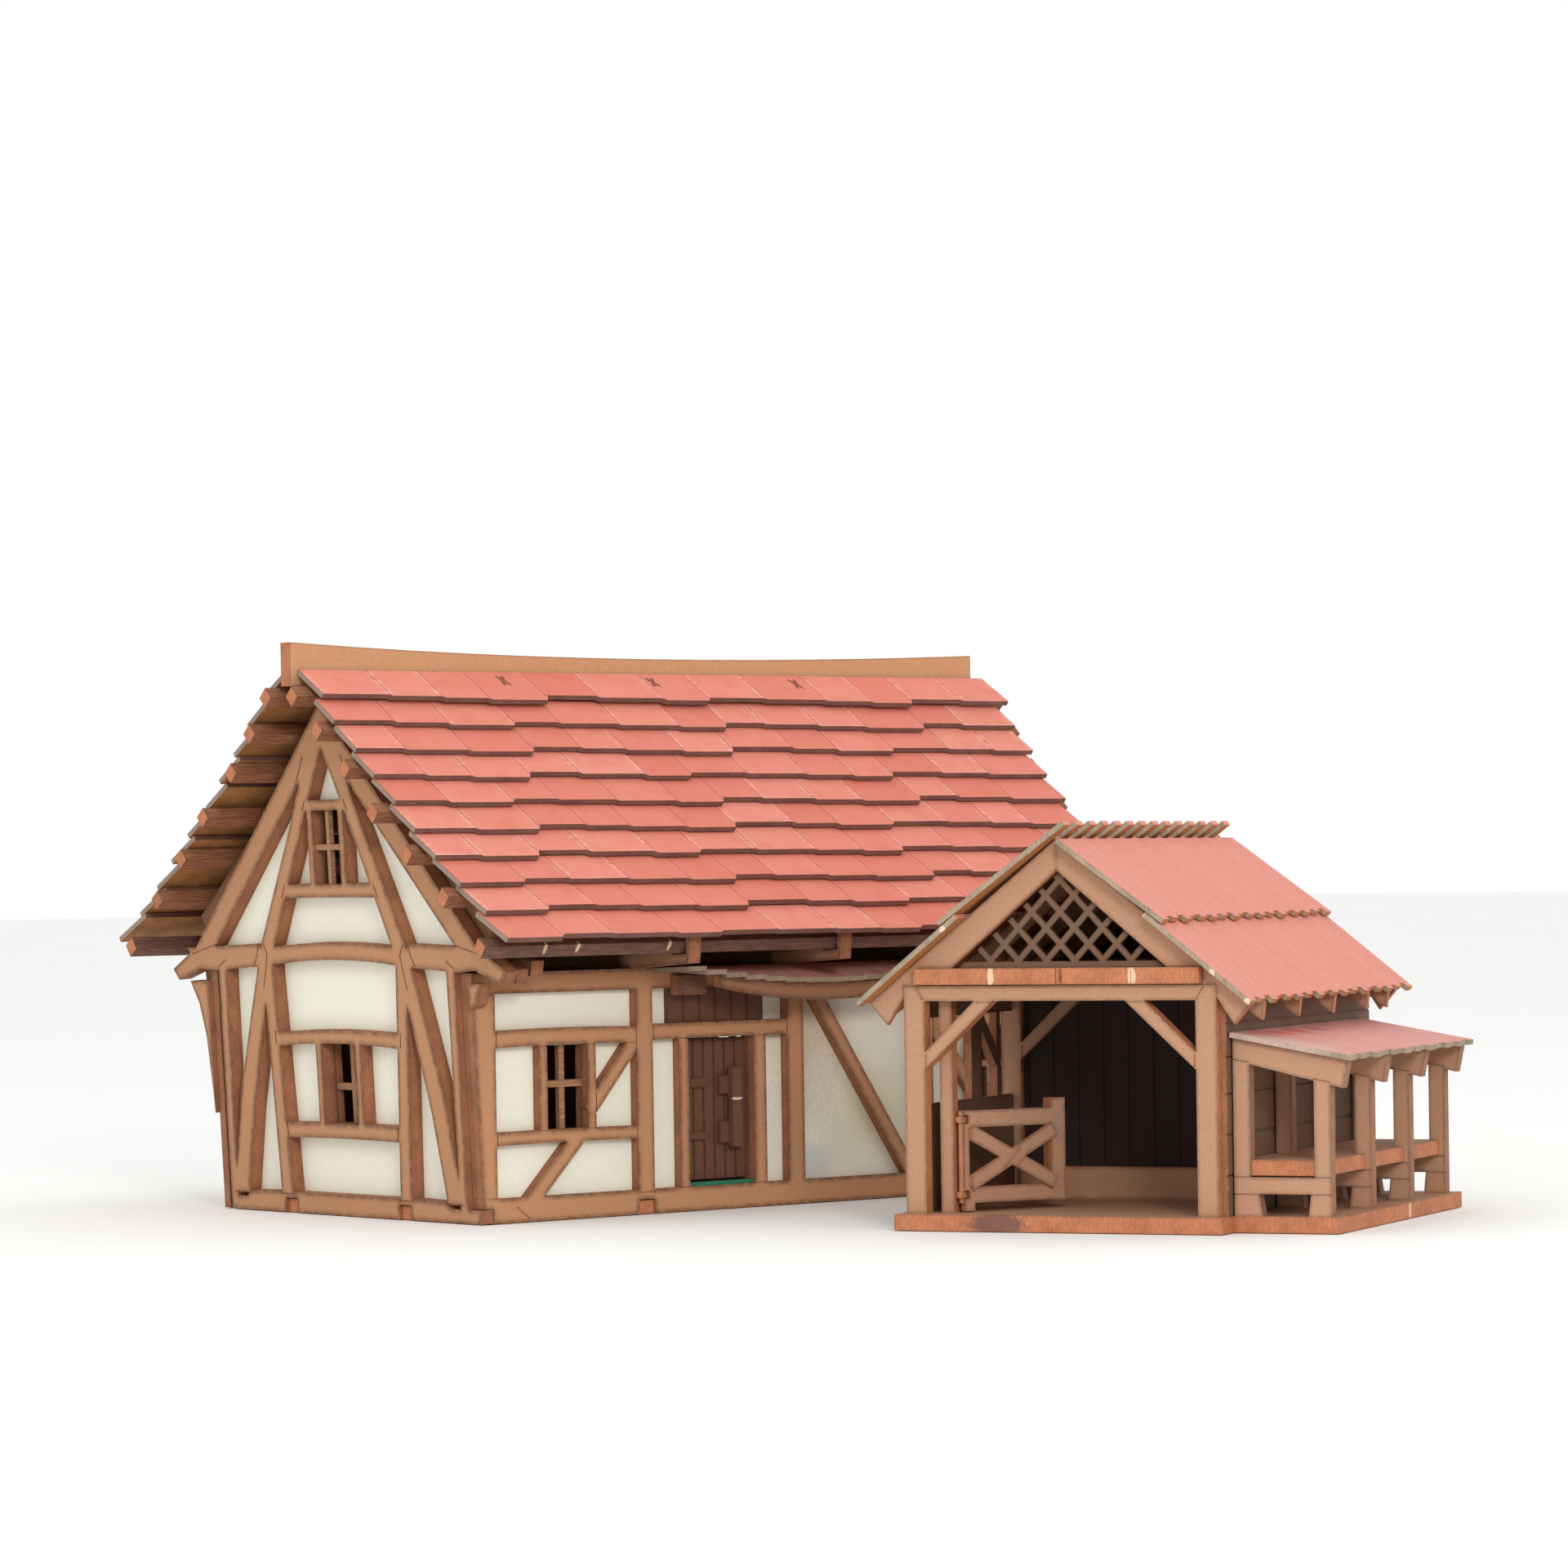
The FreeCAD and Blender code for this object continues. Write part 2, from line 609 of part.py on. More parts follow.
def build_door():
    leaf_front = pin_depth - leaf_thick / 2
    left = pin_x - leaf_thick / 2
    right = door_right - leaf_gap
    top = lintel_low - leaf_gap
    panel = box(left, right, leaf_front, leaf_front + leaf_thick, door_bottom, top)
    seams = []
    planks = 6
    pitch = (right - left) / planks
    for i in range(1, planks):
        x = left + pitch * i
        seams.append(box(x - 0.2, x + 0.2, leaf_front - 1, leaf_front + 0.35, door_bottom - 1, top + 1))
    panel = cut(panel, seams)
    pins = [Part.makeCylinder(pin_radius, 2.4, V(pin_x, pin_depth, top - 0.4)),
            Part.makeCylinder(pin_radius, 1.5, V(pin_x, pin_depth, door_bottom - 1.1))]
    leaf = panel.multiFuse(pins).removeSplitter().Solids[0]
    keep("door_leaf", front(leaf))
    for low, high in ((17.9, 21.3), (31.9, 35.7)):
        mid = (low + high) / 2
        points = [(left + 0.9, low + 0.7), (left + 7.0, low + 0.5), (left + 9.4, mid),
                  (left + 7.0, high - 0.5), (left + 0.9, high - 0.7)]
        strap = sheet(points, leaf_front - strap_thick, leaf_front)
        keep("door_strap_hinges", front(strap))
    pull_x = left + 14.6
    bar = box(pull_x, pull_x + pull_width, leaf_front - 3.0, leaf_front - 1.4, pull_low, pull_high)
    keep("door_pull", front(bar))
    for low, high in ((17.4, 23.2), (30.5, 35.4)):
        block = box(pull_x - 3.0, pull_x + pull_width - 0.3, leaf_front - 1.4, leaf_front, low, high)
        keep("door_pull_blocks", front(block))


def build_door_surround():
    strip = box(door_left, door_right, 0.8, long_frame + 0.2, sill_height, door_bottom - 0.5)
    pin_socket = Part.makeCylinder(pin_radius + pin_gap, 3.0, V(pin_x, pin_depth, sill_height - 1))
    keep("door_threshold", front(cut(strip, [pin_socket])))
    low = lintel_top
    high = plate_low
    left = mid_post + post_width / 2 + 6.0
    right = door_right + 4.6
    panel = box(left, right, long_frame - 1.2, long_frame, low, high)
    grooves = []
    count = 6
    pitch = (right - left) / count
    for i in range(1, count):
        x = left + pitch * i
        grooves.append(box(x - 0.2, x + 0.2, long_frame - 2, long_frame - 0.85, low - 1, high + 1))
    keep("over_door_panel", front(cut(panel, grooves)))


# ------------------------------------------------------------------ the canopy over the door
canopy_middle = 5.0
canopy_half = 51.0
canopy_out = 14.0           # from the wall's face to the front edge
canopy_inner = 64.7         # top of the sheet at the wall
canopy_low = 61.2           # and at the middle of the front edge
canopy_rise = 4.6           # the front edge's ends stand this much higher
canopy_tile = 1.3
fascia_low = 55.2           # underside of the fascia at its middle
fascia_half = 39.5
fascia_rise = 4.4


def canopy_edge(x):
    return canopy_low + canopy_rise * ((x - canopy_middle) / canopy_half) ** 2


def fascia_edge(x):
    return fascia_low + fascia_rise * ((x - canopy_middle) / fascia_half) ** 2


def ruled_strip(x0, x1):
    """One board of the canopy: straight at the wall, at the curve's height in front."""
    corners = []
    for x, y in ((x0, 0.0), (x1, 0.0), (x1, -canopy_out), (x0, -canopy_out)):
        top = canopy_inner if y == 0.0 else (canopy_edge(x0) + canopy_edge(x1)) / 2
        corners.append(V(x, y, top - canopy_tile))
    face = Part.Face(Part.makePolygon(corners + [corners[0]]))
    return face.extrude(V(0, 0, canopy_tile))


def build_canopy():
    boards = 15
    pitch = 2 * canopy_half / boards
    strips = []
    for i in range(boards):
        x0 = canopy_middle - canopy_half + pitch * i
        strips.append(ruled_strip(x0, x0 + pitch))
    roof = strips[0].multiFuse(strips[1:]).Solids[0]
    keep("canopy_roof", front(roof))
    steps = 12
    under = []
    over = []
    for i in range(steps + 1):
        x = canopy_middle - fascia_half + 2 * fascia_half * i / steps
        under.append((x, fascia_edge(x)))
        over.append((x, canopy_edge(x) - canopy_tile - 0.4))
    keep("canopy_fascia", front(sheet(under + over[::-1], -canopy_out + 0.8, -canopy_out + 2.8)))
    for x0 in (beam_end_left, 2 * canopy_middle - beam_end_left - beam_end_width):
        block = box(x0, x0 + beam_end_width, -3.4, 0.0, 57.4, 62.7)
        keep("canopy_beam_ends", front(block))


# ------------------------------------------------------------------ eave struts and corner knees
def across(points, x0, x1):
    """A plate cut to an outline of (y, z) points, standing from x0 to x1."""
    loop = [V(x0, y, z) for y, z in points]
    face = Part.Face(Part.makePolygon(loop + [loop[0]]))
    return face.extrude(V(x1 - x0, 0, 0))


strut_nose = eave_run - 0.3     # outer end of a strut, from the ridge's middle
strut_nose_low = 66.3
strut_nose_top = 74.2
tail_out = 71.3             # outer end of the tails at the corners
corner_tails = ((house_length / 2 - 7.5, house_length / 2 - 4.0, 62.0, 65.8),
                (house_length / 2 - 12.5, house_length / 2 - 8.5, 63.9, 67.8))


def build_eave_trim():
    seat = wall_height
    back_end = inner_half + 1.0
    room = purlin * 0.71 + 0.2
    notch = eave_bar_up - room
    strut = [(-back_end, seat), (-house_depth / 2, seat)]
    strut += [(-strut_nose + 1.0, strut_nose_low), (-strut_nose, strut_nose_top)]
    strut += [(-eave_bar_out - room - 0.1, strut_nose_top), (-eave_bar_out - room, notch)]
    strut += [(-eave_bar_out + room, notch), (-eave_bar_out + room, notch + 1.9)]
    strut += [(-house_depth / 2 - 0.7, seat + 4.1), (-back_end, seat + 4.1)]
    for x in former_stations:
        solid = across(strut, x - 7.4, x - 3.4)
        keep("eave_struts", solid, mirrored_y(solid))
    for near_x, far_x, low, high in corner_tails:
        tail = [(-back_end, seat), (-house_depth / 2 - 0.1, seat), (-tail_out + 0.7, low), (-tail_out, high),
                (-house_depth / 2 - 0.7, seat + 4.2), (-back_end, seat + 4.2)]
        for sign in (1, -1):
            a, b = sorted((sign * near_x, sign * far_x))
            solid = across(tail, a, b)
            keep("eave_struts", solid, mirrored_y(solid))
    wall = house_depth / 2 + 0.15
    near = [(wall, 55.6), (wall + 2.4, 56.6), (wall + 4.2, 60.6), (wall + 4.9, 62.2), (wall, 62.2)]
    far = [(wall, 26.0), (wall + 0.6, 33.0), (61.6, 47.0), (64.2, 56.0), (68.0, 62.2), (wall, 62.2)]
    keep("corner_knees", left_gable(sheet(near, 0, gable_frame)),
         right_gable(sheet(mirrored(near), 0, gable_frame)))
    keep("corner_knees", left_gable(sheet(mirrored(far), 0, gable_frame)),
         right_gable(sheet(far, 0, gable_frame)))


# ------------------------------------------------------------------ the lift-off roof
tile_count = 13
tile_flare = 0.7            # half of the slanted break between two tiles
VERGE_WAVE = (-1.0, 1.3, -0.1, 0.2, -0.8, 0.5, 0.9, -0.5)
# each run of tiles hangs lower and lower, then the next run starts higher up
STEPS = (2.3, 1.6, 0.8, 0.0, 2.6, 1.6, 0.5, 2.1, 1.5, 0.8, 0.0)
WIDTHS = (1.15, 0.9, 0.8, 1.05, 0.95, 1.2, 0.85, 1.1)


def verge(u, row):
    wave = VERGE_WAVE[row % len(VERGE_WAVE)]
    left = roof_left - roof_left_lean * (1 - u) - 0.5 * wave
    right = roof_right + roof_right_lean * (1 - u) ** 2 - 0.7 * wave
    return left, right


def shingle_row(row):
    """One strip of shingles, flat: its lower edge steps from tile to tile."""
    u0 = row_share(row)
    u1 = row_share(row + 1)
    a_out, a_up = roof_line(u0)[:2]
    b_out, b_up = roof_line(u1)[:2]
    if row == 0:
        a_up -= first_drop
    run = math.hypot(b_out - a_out, b_up - a_up)
    length = run + (tile_lap if row else first_lap)
    lift = tile_lift if row else first_lift
    tilt = math.atan2(a_up - b_up, b_out - a_out) - math.asin(lift / length)
    start = 0.0 if row else (ridge_board / 2 + 0.25) / math.cos(tilt)
    left, right = verge(u1, row)
    shares = [WIDTHS[(row * 3 + i) % len(WIDTHS)] for i in range(tile_count)]
    x = left
    points = [(left, start)]
    for i in range(tile_count):
        step = STEPS[(row * 4 + i) % len(STEPS)]
        if row == row_count - 1:
            step *= 0.6
        end = x + (right - left) * shares[i] / sum(shares)
        points.append((x + (tile_flare if i else 0.0), length - step))
        points.append((end - (tile_flare if i < tile_count - 1 else 0.0), length - step))
        x = end
    points.append((right, start))
    solid = plate([(px, -py) for px, py in points], 0.0, tile)
    solid.rotate(V(0, 0, 0), V(1, 0, 0), math.degrees(tilt))
    solid.translate(V(0, -a_out, a_up))
    return solid


def purlin_bar(u, extra):
    """A square bar along the front slope, just under the roof line."""
    out, up, steep = roof_line(u, 0.12)
    left = roof_left - roof_left_lean * (1 - u) - extra
    right = roof_right + roof_right_lean * (1 - u) ** 2 + extra
    bar = box(left, right, -purlin / 2, purlin / 2, -purlin, 0.0)
    bar.rotate(V(0, 0, 0), V(1, 0, 0), math.degrees(steep))
    bar.translate(V(0, -out, up))
    return bar


def eave_bar():
    """The lowest purlin on the front side: it lies in the struts' notches."""
    steep = roof_line(eave_bar_share)[2]
    bar = box(roof_left - 2.8, roof_right + 3.2, -purlin / 2, purlin / 2, -purlin / 2, purlin / 2)
    bar.rotate(V(0, 0, 0), V(1, 0, 0), math.degrees(steep))
    bar.translate(V(0, -eave_bar_out, eave_bar_up))
    return bar


def mirrored_y(shape):
    return shape.mirror(V(0, 0, 0), V(0, 1, 0))


def build_house_roof():
    for row in range(row_count):
        keep("front_shingles", shingle_row(row))
        keep("rear_shingles", mirrored_y(shingle_row(row)))
    for i, u in enumerate(purlin_stations):
        extra = purlin_out - 0.6 * (i % 3)
        keep("front_purlins", purlin_bar(u, extra))
        keep("rear_purlins", mirrored_y(purlin_bar(u, extra)))
    keep("eave_purlins", eave_bar(), mirrored_y(eave_bar()))
    steps = 12
    top = []
    for i in range(steps + 1):
        u = i / steps
        x = ridge_left + (ridge_right - ridge_left) * u
        top.append((x, ridge_top - 0.7 * u - 13.2 * u * (1 - u) * (0.9 - 0.15 * u)))
    outline = [(ridge_left, ridge_low), (ridge_right, ridge_low)] + top[::-1]
    keep("ridge_board", sheet(outline, -ridge_board / 2, ridge_board / 2))
    half = under_roof(former_reach)
    seat = wall_height
    foot = house_depth / 2 - 0.6
    side = [(foot - 11.0, seat), (foot, seat), (half[-1][0], seat + 6.0)] + half[:0:-1]
    outline = side + [(0.0, ridge_low - 0.1)] + mirrored(side)
    for x in former_stations:
        former = sheet(outline, -1.0, 1.0)
        former.rotate(V(0, 0, 0), V(0, 0, 1), 90)
        former.translate(V(x, 0, 0))
        keep("roof_formers", former)


# ------------------------------------------------------------------ the stable
lean_edge = shed_width + lean_width
mid_a = shed_width / 2
slope = (shed_ridge - shed_eave) / shed_eave_run
side_top = 59.4             # top of the side walls, under the rafters
side_outer = shed_width - 0.2           # outer face of the stable's right side sheet
frame_left = post_margin
frame_right = shed_width - post_margin


def build_shed_base():
    keep("shed_base", in_shed(box(0, shed_width, 0, shed_length, 0, base)))
    keep("lean_to_base", in_shed(box(shed_width, lean_edge, lean_front, lean_front + lean_length, 0, base)))


def cross_frame(y0, y1):
    """Two posts, a lintel and two knee braces in one sheet."""
    left = frame_left
    right = frame_right
    p = shed_post
    outlines = [[(left, base), (left + p, base), (left + p, lintel_over - 1), (left + p - 1, lintel_over),
                 (left + 1.2, lintel_over), (left, lintel_over - 1.2)],
                [(left, lintel_under), (right, lintel_under), (right, lintel_over), (left, lintel_over)]]
    outlines.append(mirror_about(outlines[0]))
    brace = [(left + p - 0.4, 39.6), (left + p - 0.4, 43.8), (left + 19.4, lintel_under + 0.6),
             (left + 24.4, lintel_under + 0.6)]
    outlines.append(brace)
    outlines.append(mirror_about(brace))
    whole = joined(outlines, y0, y1)
    lines = []
    seams = (((left + p - 0.3, lintel_under + 0.3), (left + p - 2.1, lintel_over - 0.4)),
             ((left + p + 0.35, 40.6), (left + p + 0.35, 43.6)),
             ((left + 19.4, lintel_under - 0.35), (left + 23.4, lintel_under - 0.35)))
    for a, b in seams:
        lines.append((a, b))
        lines.append(((shed_width - a[0], a[1]), (shed_width - b[0], b[1])))
    tools = [sheet(timber(a, b, 0.4), y0 - 0.5, y0 + 0.3) for a, b in lines]
    return cut(whole, tools)


def mirror_about(points):
    return [(shed_width - x, z) for x, z in reversed(points)]


def build_shed_frames():
    keep("shed_front_frame", in_shed(cross_frame(front_face, front_face + shed_frame)))
    keep("shed_inner_frame", in_shed(cross_frame(inner_face, inner_face + 2.0)))
    keep("shed_rear_frame", in_shed(cross_frame(rear_face, rear_face + shed_frame)))


def build_shed_walls():
    # partition behind the open bay, upright planks
    wall = box(frame_left, frame_right, inner_face + 2.0, inner_face + 4.0, base, loft_low)
    seams = [box(x - 0.2, x + 0.2, inner_face + 1, inner_face + 2.4, base - 1, loft_low + 1)
             for x in [frame_left + 6.9 * i for i in range(1, 12)]]
    keep("shed_partition", in_shed(cut(wall, seams)))
    plinth = box(frame_left + shed_post + 0.1, frame_right - shed_post - 0.1, inner_face - 2.0,
                 inner_face + 2.0, base, base + 8.2)
    keep("shed_plinth", in_shed(plinth))
    # right side, closed with boards that lie level
    start = front_face + shed_frame + 0.1
    side = box(frame_right, side_outer, front_face + 2.1, rear_face + 1.9, base, loft_low - 4.4)
    grooves = []
    for level in (14.0, 24.0, 34.0, 43.0, 51.2):
        grooves.append(box(side_outer - 0.35, side_outer + 1, front_face - 1, rear_face + 9, level - 0.2,
                           level + 0.2))
    keep("shed_right_wall", in_shed(cut(side, grooves)))
    # left side: a half-height board wall, posts and knee braces over it, closed behind the partition
    low = [(start, base), (inner_face - 0.1, base), (inner_face - 0.1, 31.0), (start, 31.0)]
    post_a = [(40.8, 29.0), (48.0, 29.0), (48.0, lintel_under), (40.8, lintel_under)]
    post_b = [(58.6, 29.0), (61.0, 29.0), (61.0, lintel_under), (58.6, lintel_under)]
    head = [(start, 52.6), (inner_face - 0.1, 52.6), (inner_face - 0.1, side_top), (start, side_top)]
    knee = timber((47.0, 52.0), (59.4, 40.0), 3.6)
    wall = joined([low, post_a, post_b, head, knee], 0.0, 2.0)
    keep("shed_left_wall", in_shed(side_wall(wall, frame_left + 1.2)))
    closed = sheet([(inner_face + 4.1, base), (rear_face - 2.1, base), (rear_face - 2.1, side_top),
                    (inner_face + 4.1, side_top)], 0.0, 2.0)
    keep("shed_rear_walls", in_shed(side_wall(closed, frame_left + 1.2)))
    rear = box(frame_left + 0.1, frame_right - 0.1, rear_face - 2.0, rear_face - 0.0, base, loft_low)
    keep("shed_rear_walls", in_shed(rear))


def side_wall(shape, a):
    """Turns a sheet drawn along the stable's length so that it stands across a."""
    copy = shape.copy()
    copy.rotate(V(0, 0, 0), V(0, 0, 1), 90)
    copy.translate(V(a + 2.0, 0, 0))
    return copy


def build_loft():
    board = box(loft_in, shed_width - loft_in, loft_front, rear_face + shed_frame + 1.0, loft_low, loft_top)
    seams = []
    for a in (25.2, 43.4, 63.0):
        seams.append(box(a - 0.15, a + 0.15, loft_front - 1, loft_front + 0.3, loft_low - 1, loft_top + 1))
    keep("loft_floor", in_shed(cut(board, seams)))


def shed_line(a):
    """Height of the stable's roof line over a."""
    return shed_ridge - slope * abs(a - mid_a)


under_barge = 0.15


def gable_board_outline():
    tail = shed_eave_run - 1.0
    over = [(mid_a, shed_line(mid_a) - under_barge), (mid_a + tail, shed_line(mid_a + tail) - under_barge)]
    low_end = (mid_a + tail - 4.6, shed_line(mid_a + tail) - under_barge - 5.4)
    post_side = frame_right + fit_gap
    loft_side = shed_width - loft_in + fit_gap
    half = over[1:] + [low_end, (post_side, lintel_over - 3.0), (post_side, lintel_over + fit_gap),
                       (loft_side, lintel_over + fit_gap), (loft_side, loft_top + 0.05), (mid_a + 28.4,
                                                                                          loft_top + 0.05),
                       (mid_a, shed_line(mid_a) - barge_width - 1.2)]
    return over, half


def build_gable_boards():
    over, half = gable_board_outline()
    right = [over[0]] + half
    left = mirror_about(right)
    for points, name in ((right, "gable_boards"), (left, "gable_boards")):
        solid = sheet(points, front_face, front_face + 2.0)
        rear = sheet(points, rear_face + 2.0, rear_face + 4.0)
        keep(name, in_shed(solid), in_shed(rear))


def lattice_bars(sign):
    bars = []
    pitch = 7.4
    count = 6
    low = loft_top + 1.0
    for i in range(count):
        foot = mid_a + sign * (-19.0 + pitch * i)
        reach = 46.0
        bars.append(timber((foot - sign * 3.0, low - 3.0),
                           (foot + sign * reach * 0.66, low + reach * 0.72), 1.5))
    return bars


def build_lattice():
    y0 = front_face + 2.1
    y1 = y0 + 1.0
    foot = 27.2
    outside = [(mid_a - foot, loft_top), (mid_a + foot, loft_top),
               (mid_a, shed_line(mid_a) - barge_width - 1.6)]
    rim = [(mid_a - foot, loft_top), (mid_a + foot, loft_top),
           (mid_a + foot - 1.6, loft_top + 1.6), (mid_a - foot + 1.6, loft_top + 1.6)]
    first = joined(lattice_bars(1) + [rim], y0, y1)
    second = joined(lattice_bars(-1) + [rim], y0, y1)
    whole = first.fuse(second).common(sheet(outside, y0, y1)).removeSplitter()
    keep("gable_lattice", in_shed(whole.Solids[0]))
    triangle = [(mid_a - 33.0, loft_top), (mid_a + 33.0, loft_top), (mid_a, shed_line(mid_a) - 3.0)]
    keep("rear_gable_panel", in_shed(sheet(triangle, rear_face, rear_face + 2.0)))


# ------------------------------------------------------------------ the stable's roof
def board_edge(b0, b1, inward, pitch, pattern):
    """Points of a ragged edge between b0 and b1: boards of uneven length."""
    points = []
    count = int(round((b1 - b0) / pitch))
    width = (b1 - b0) / count
    for i in range(count):
        depth = inward * pattern[i % len(pattern)]
        points.append((b0 + width * i, depth))
        points.append((b0 + width * (i + 1), depth))
    return points


RAGGED = (0.1, 0.8, 0.4, 1.0, 0.0, 0.6, 0.9, 0.3, 0.7)


def roof_sheet(top, foot, b0, b1, lift_top, lift_foot, stubs):
    """A boarded roof sheet on the right slope, between two distances from the ridge."""
    angle = math.atan(slope)
    scale = 1 / math.cos(angle)
    edge = board_edge(b0, b1, 1.6, 4.1, RAGGED)
    points = [(foot * scale - depth, b) for b, depth in edge]
    upper = []
    if stubs:
        count = 14
        pitch = (b1 - b0 - 2.0) / count
        for i in range(count):
            b = b0 + 1.0 + pitch * i
            upper += [(top * scale, b), (top * scale - 5.6, b + 0.4),
                      (top * scale - 5.6, b + pitch * 0.52), (top * scale, b + pitch * 0.52)]
        upper.append((top * scale, b1))
    else:
        upper = [(top * scale, b0), (top * scale, b1)]
    outline = upper + points[::-1]
    solid = plate(outline, 0.0, shed_tile)
    rise = math.atan2(lift_foot - lift_top, (foot - top) * scale)
    solid.translate(V(-top * scale, 0, 0))
    solid.rotate(V(0, 0, 0), V(0, 1, 0), -math.degrees(rise))
    solid.translate(V(top * scale, 0, lift_top))
    solid.rotate(V(0, 0, 0), V(0, 1, 0), math.degrees(angle))
    solid.translate(V(mid_a, 0, shed_ridge))
    return solid


def flipped(solid):
    return solid.mirror(V(mid_a, 0, 0), V(1, 0, 0))


tier_split = 28.2           # level distance from the ridge to the upper tier's lower edge
tier_lap = 4.0


def build_shed_roof():
    b0 = shed_roof_front
    b1 = shed_roof_rear
    upper_right = roof_sheet(1.6, tier_split, b0, b1, 0.2, shed_tile + 0.45, False)
    lower_right = roof_sheet(tier_split - tier_lap, shed_eave_run, b0, b1, 0.05, 0.05, False)
    upper_left = flipped(roof_sheet(0.4, tier_split, b0, b1, 0.3, shed_tile + 0.45, True))
    lower_left = flipped(roof_sheet(tier_split - tier_lap, shed_eave_run, b0, b1, 0.05, 0.05, False))
    keep("shed_roof_upper_right", in_shed(upper_right))
    keep("shed_roof_lower_right", in_shed(lower_right))
    keep("shed_roof_upper_left", in_shed(upper_left))
    keep("shed_roof_lower_left", in_shed(lower_left))
    tail = shed_eave_run - 0.8
    tail_top = shed_line(mid_a + tail) - 0.2
    half = [(mid_a + tail, tail_top), (mid_a + tail - 0.6, tail_top - 4.4),
            (mid_a + tail - 5.0, tail_top - 1.4),
            (mid_a, shed_line(mid_a) - 5.4)]
    outline = [(mid_a, shed_line(mid_a) - 0.2)] + half + mirror_about(half[:-1])
    for b in (12.0, 40.0, 68.0, 96.0, 113.0):
        board = box(loft_in - 0.3, shed_width - loft_in + 0.3, b - 1, b + 3, loft_low - 1, loft_top + 0.1)
        for solid in sheet(outline, b, b + 2.0).cut(board).Solids:
            if solid.Volume > 5.0:
                keep("shed_rafters", in_shed(solid))


# ------------------------------------------------------------------ the gate
gate_post_a = 9.4
gate_post_b = 8.4
gate_post_size = 3.4
hinge_a = gate_post_a + gate_post_size + 1.4
hinge_b = gate_post_b + 1.7
gate_top = 29.4
gate_low = 6.3


def in_gate(shape):
    copy = shape.copy()
    copy.rotate(V(0, 0, 0), V(0, 0, 1), gate_turn)
    copy.translate(V(hinge_a, hinge_b, 0))
    return in_shed(copy)


hook_radius = 0.7
hook_gap = 0.06
hook_wall = 0.6
hook_height = 1.6
hook_levels = (7.6, 26.4)


def build_gate():
    keep("gate_post", in_shed(box(gate_post_a, gate_post_a + gate_post_size, gate_post_b,
                                  gate_post_b + gate_post_size,
                                  base, loft_low - fit_gap)))
    length = gate_length
    half = gate_sheet / 2
    rails = [[(0.4, gate_top - 4.2), (length, gate_top - 4.2), (length, gate_top), (0.4, gate_top)],
             [(0.4, gate_low), (length, gate_low), (length, gate_low + 4.0), (0.4, gate_low + 4.0)],
             [(length - 4.2, gate_low - 0.2), (length, gate_low - 0.2), (length, 31.8),
              (length - 4.2, 31.8)],
             [(0.4, base + 0.3), (3.3, base + 0.3), (3.3, gate_low + 1), (0.4, gate_low + 1)],
             [(0.4, gate_low), (1.8, gate_low), (1.8, gate_top), (0.4, gate_top)]]
    frame = joined(rails, -half, half)
    room = hook_radius + hook_gap + hook_wall + 0.3
    slots = [box(-1.0, room, -half - 1, half + 1, z - 0.25, z + hook_height + 0.25) for z in hook_levels]
    rod = Part.makeCylinder(hook_radius, gate_top - gate_low, V(0, 0, gate_low))
    frame = cut(frame, slots).fuse(rod).removeSplitter()
    keep("gate_frame", in_gate(frame.Solids[0]))
    brace_a = timber((1.6, gate_top - 5.2), (length - 3.6, gate_low + 4.4), 3.6)
    brace_b = timber((1.6, gate_low + 4.8), (length - 3.6, gate_top - 5.2), 3.6)
    limit = box(1.8, length - 0.2, -5, 5, gate_low + 0.5, gate_top - 0.5)
    cross = joined([brace_a, brace_b], -half - 1.0, -half).common(limit)
    lines = [((length / 2 - 3.6, 15.0), (length / 2 + 1.0, 19.8)),
             ((length / 2 - 0.6, 14.2), (length / 2 + 3.8, 19.0))]
    tools = [sheet(timber(a, b, 0.4), -half - 2.0, -half - 0.7) for a, b in lines]
    keep("gate_braces", in_gate(cut(cross, tools)))
    keep("gate_stile_block", in_gate(box(length - 4.0, length - 1.6, half, half + 2.0, gate_low, 31.8)))


def build_gate_hinges():
    for z0 in hook_levels:
        eye = Part.makeCylinder(hook_radius + hook_gap + hook_wall, hook_height, V(hinge_a, hinge_b, z0))
        arm = box(gate_post_a + gate_post_size, hinge_a, hinge_b - 0.6, hinge_b + 0.6, z0, z0 + hook_height)
        ring = eye.fuse(arm).cut(Part.makeCylinder(hook_radius + hook_gap, hook_height + 1,
                                                   V(hinge_a, hinge_b, z0 - 0.5)))
        keep("gate_hooks", in_shed(ring.removeSplitter().Solids[0]))


# ------------------------------------------------------------------ the lean-to
lean_roof_inner = 47.8      # underside of the lean-to roof at the stable's wall
lean_roof_fall = 0.185


def lean_roof_at(distance):
    return lean_roof_inner - lean_roof_fall * distance


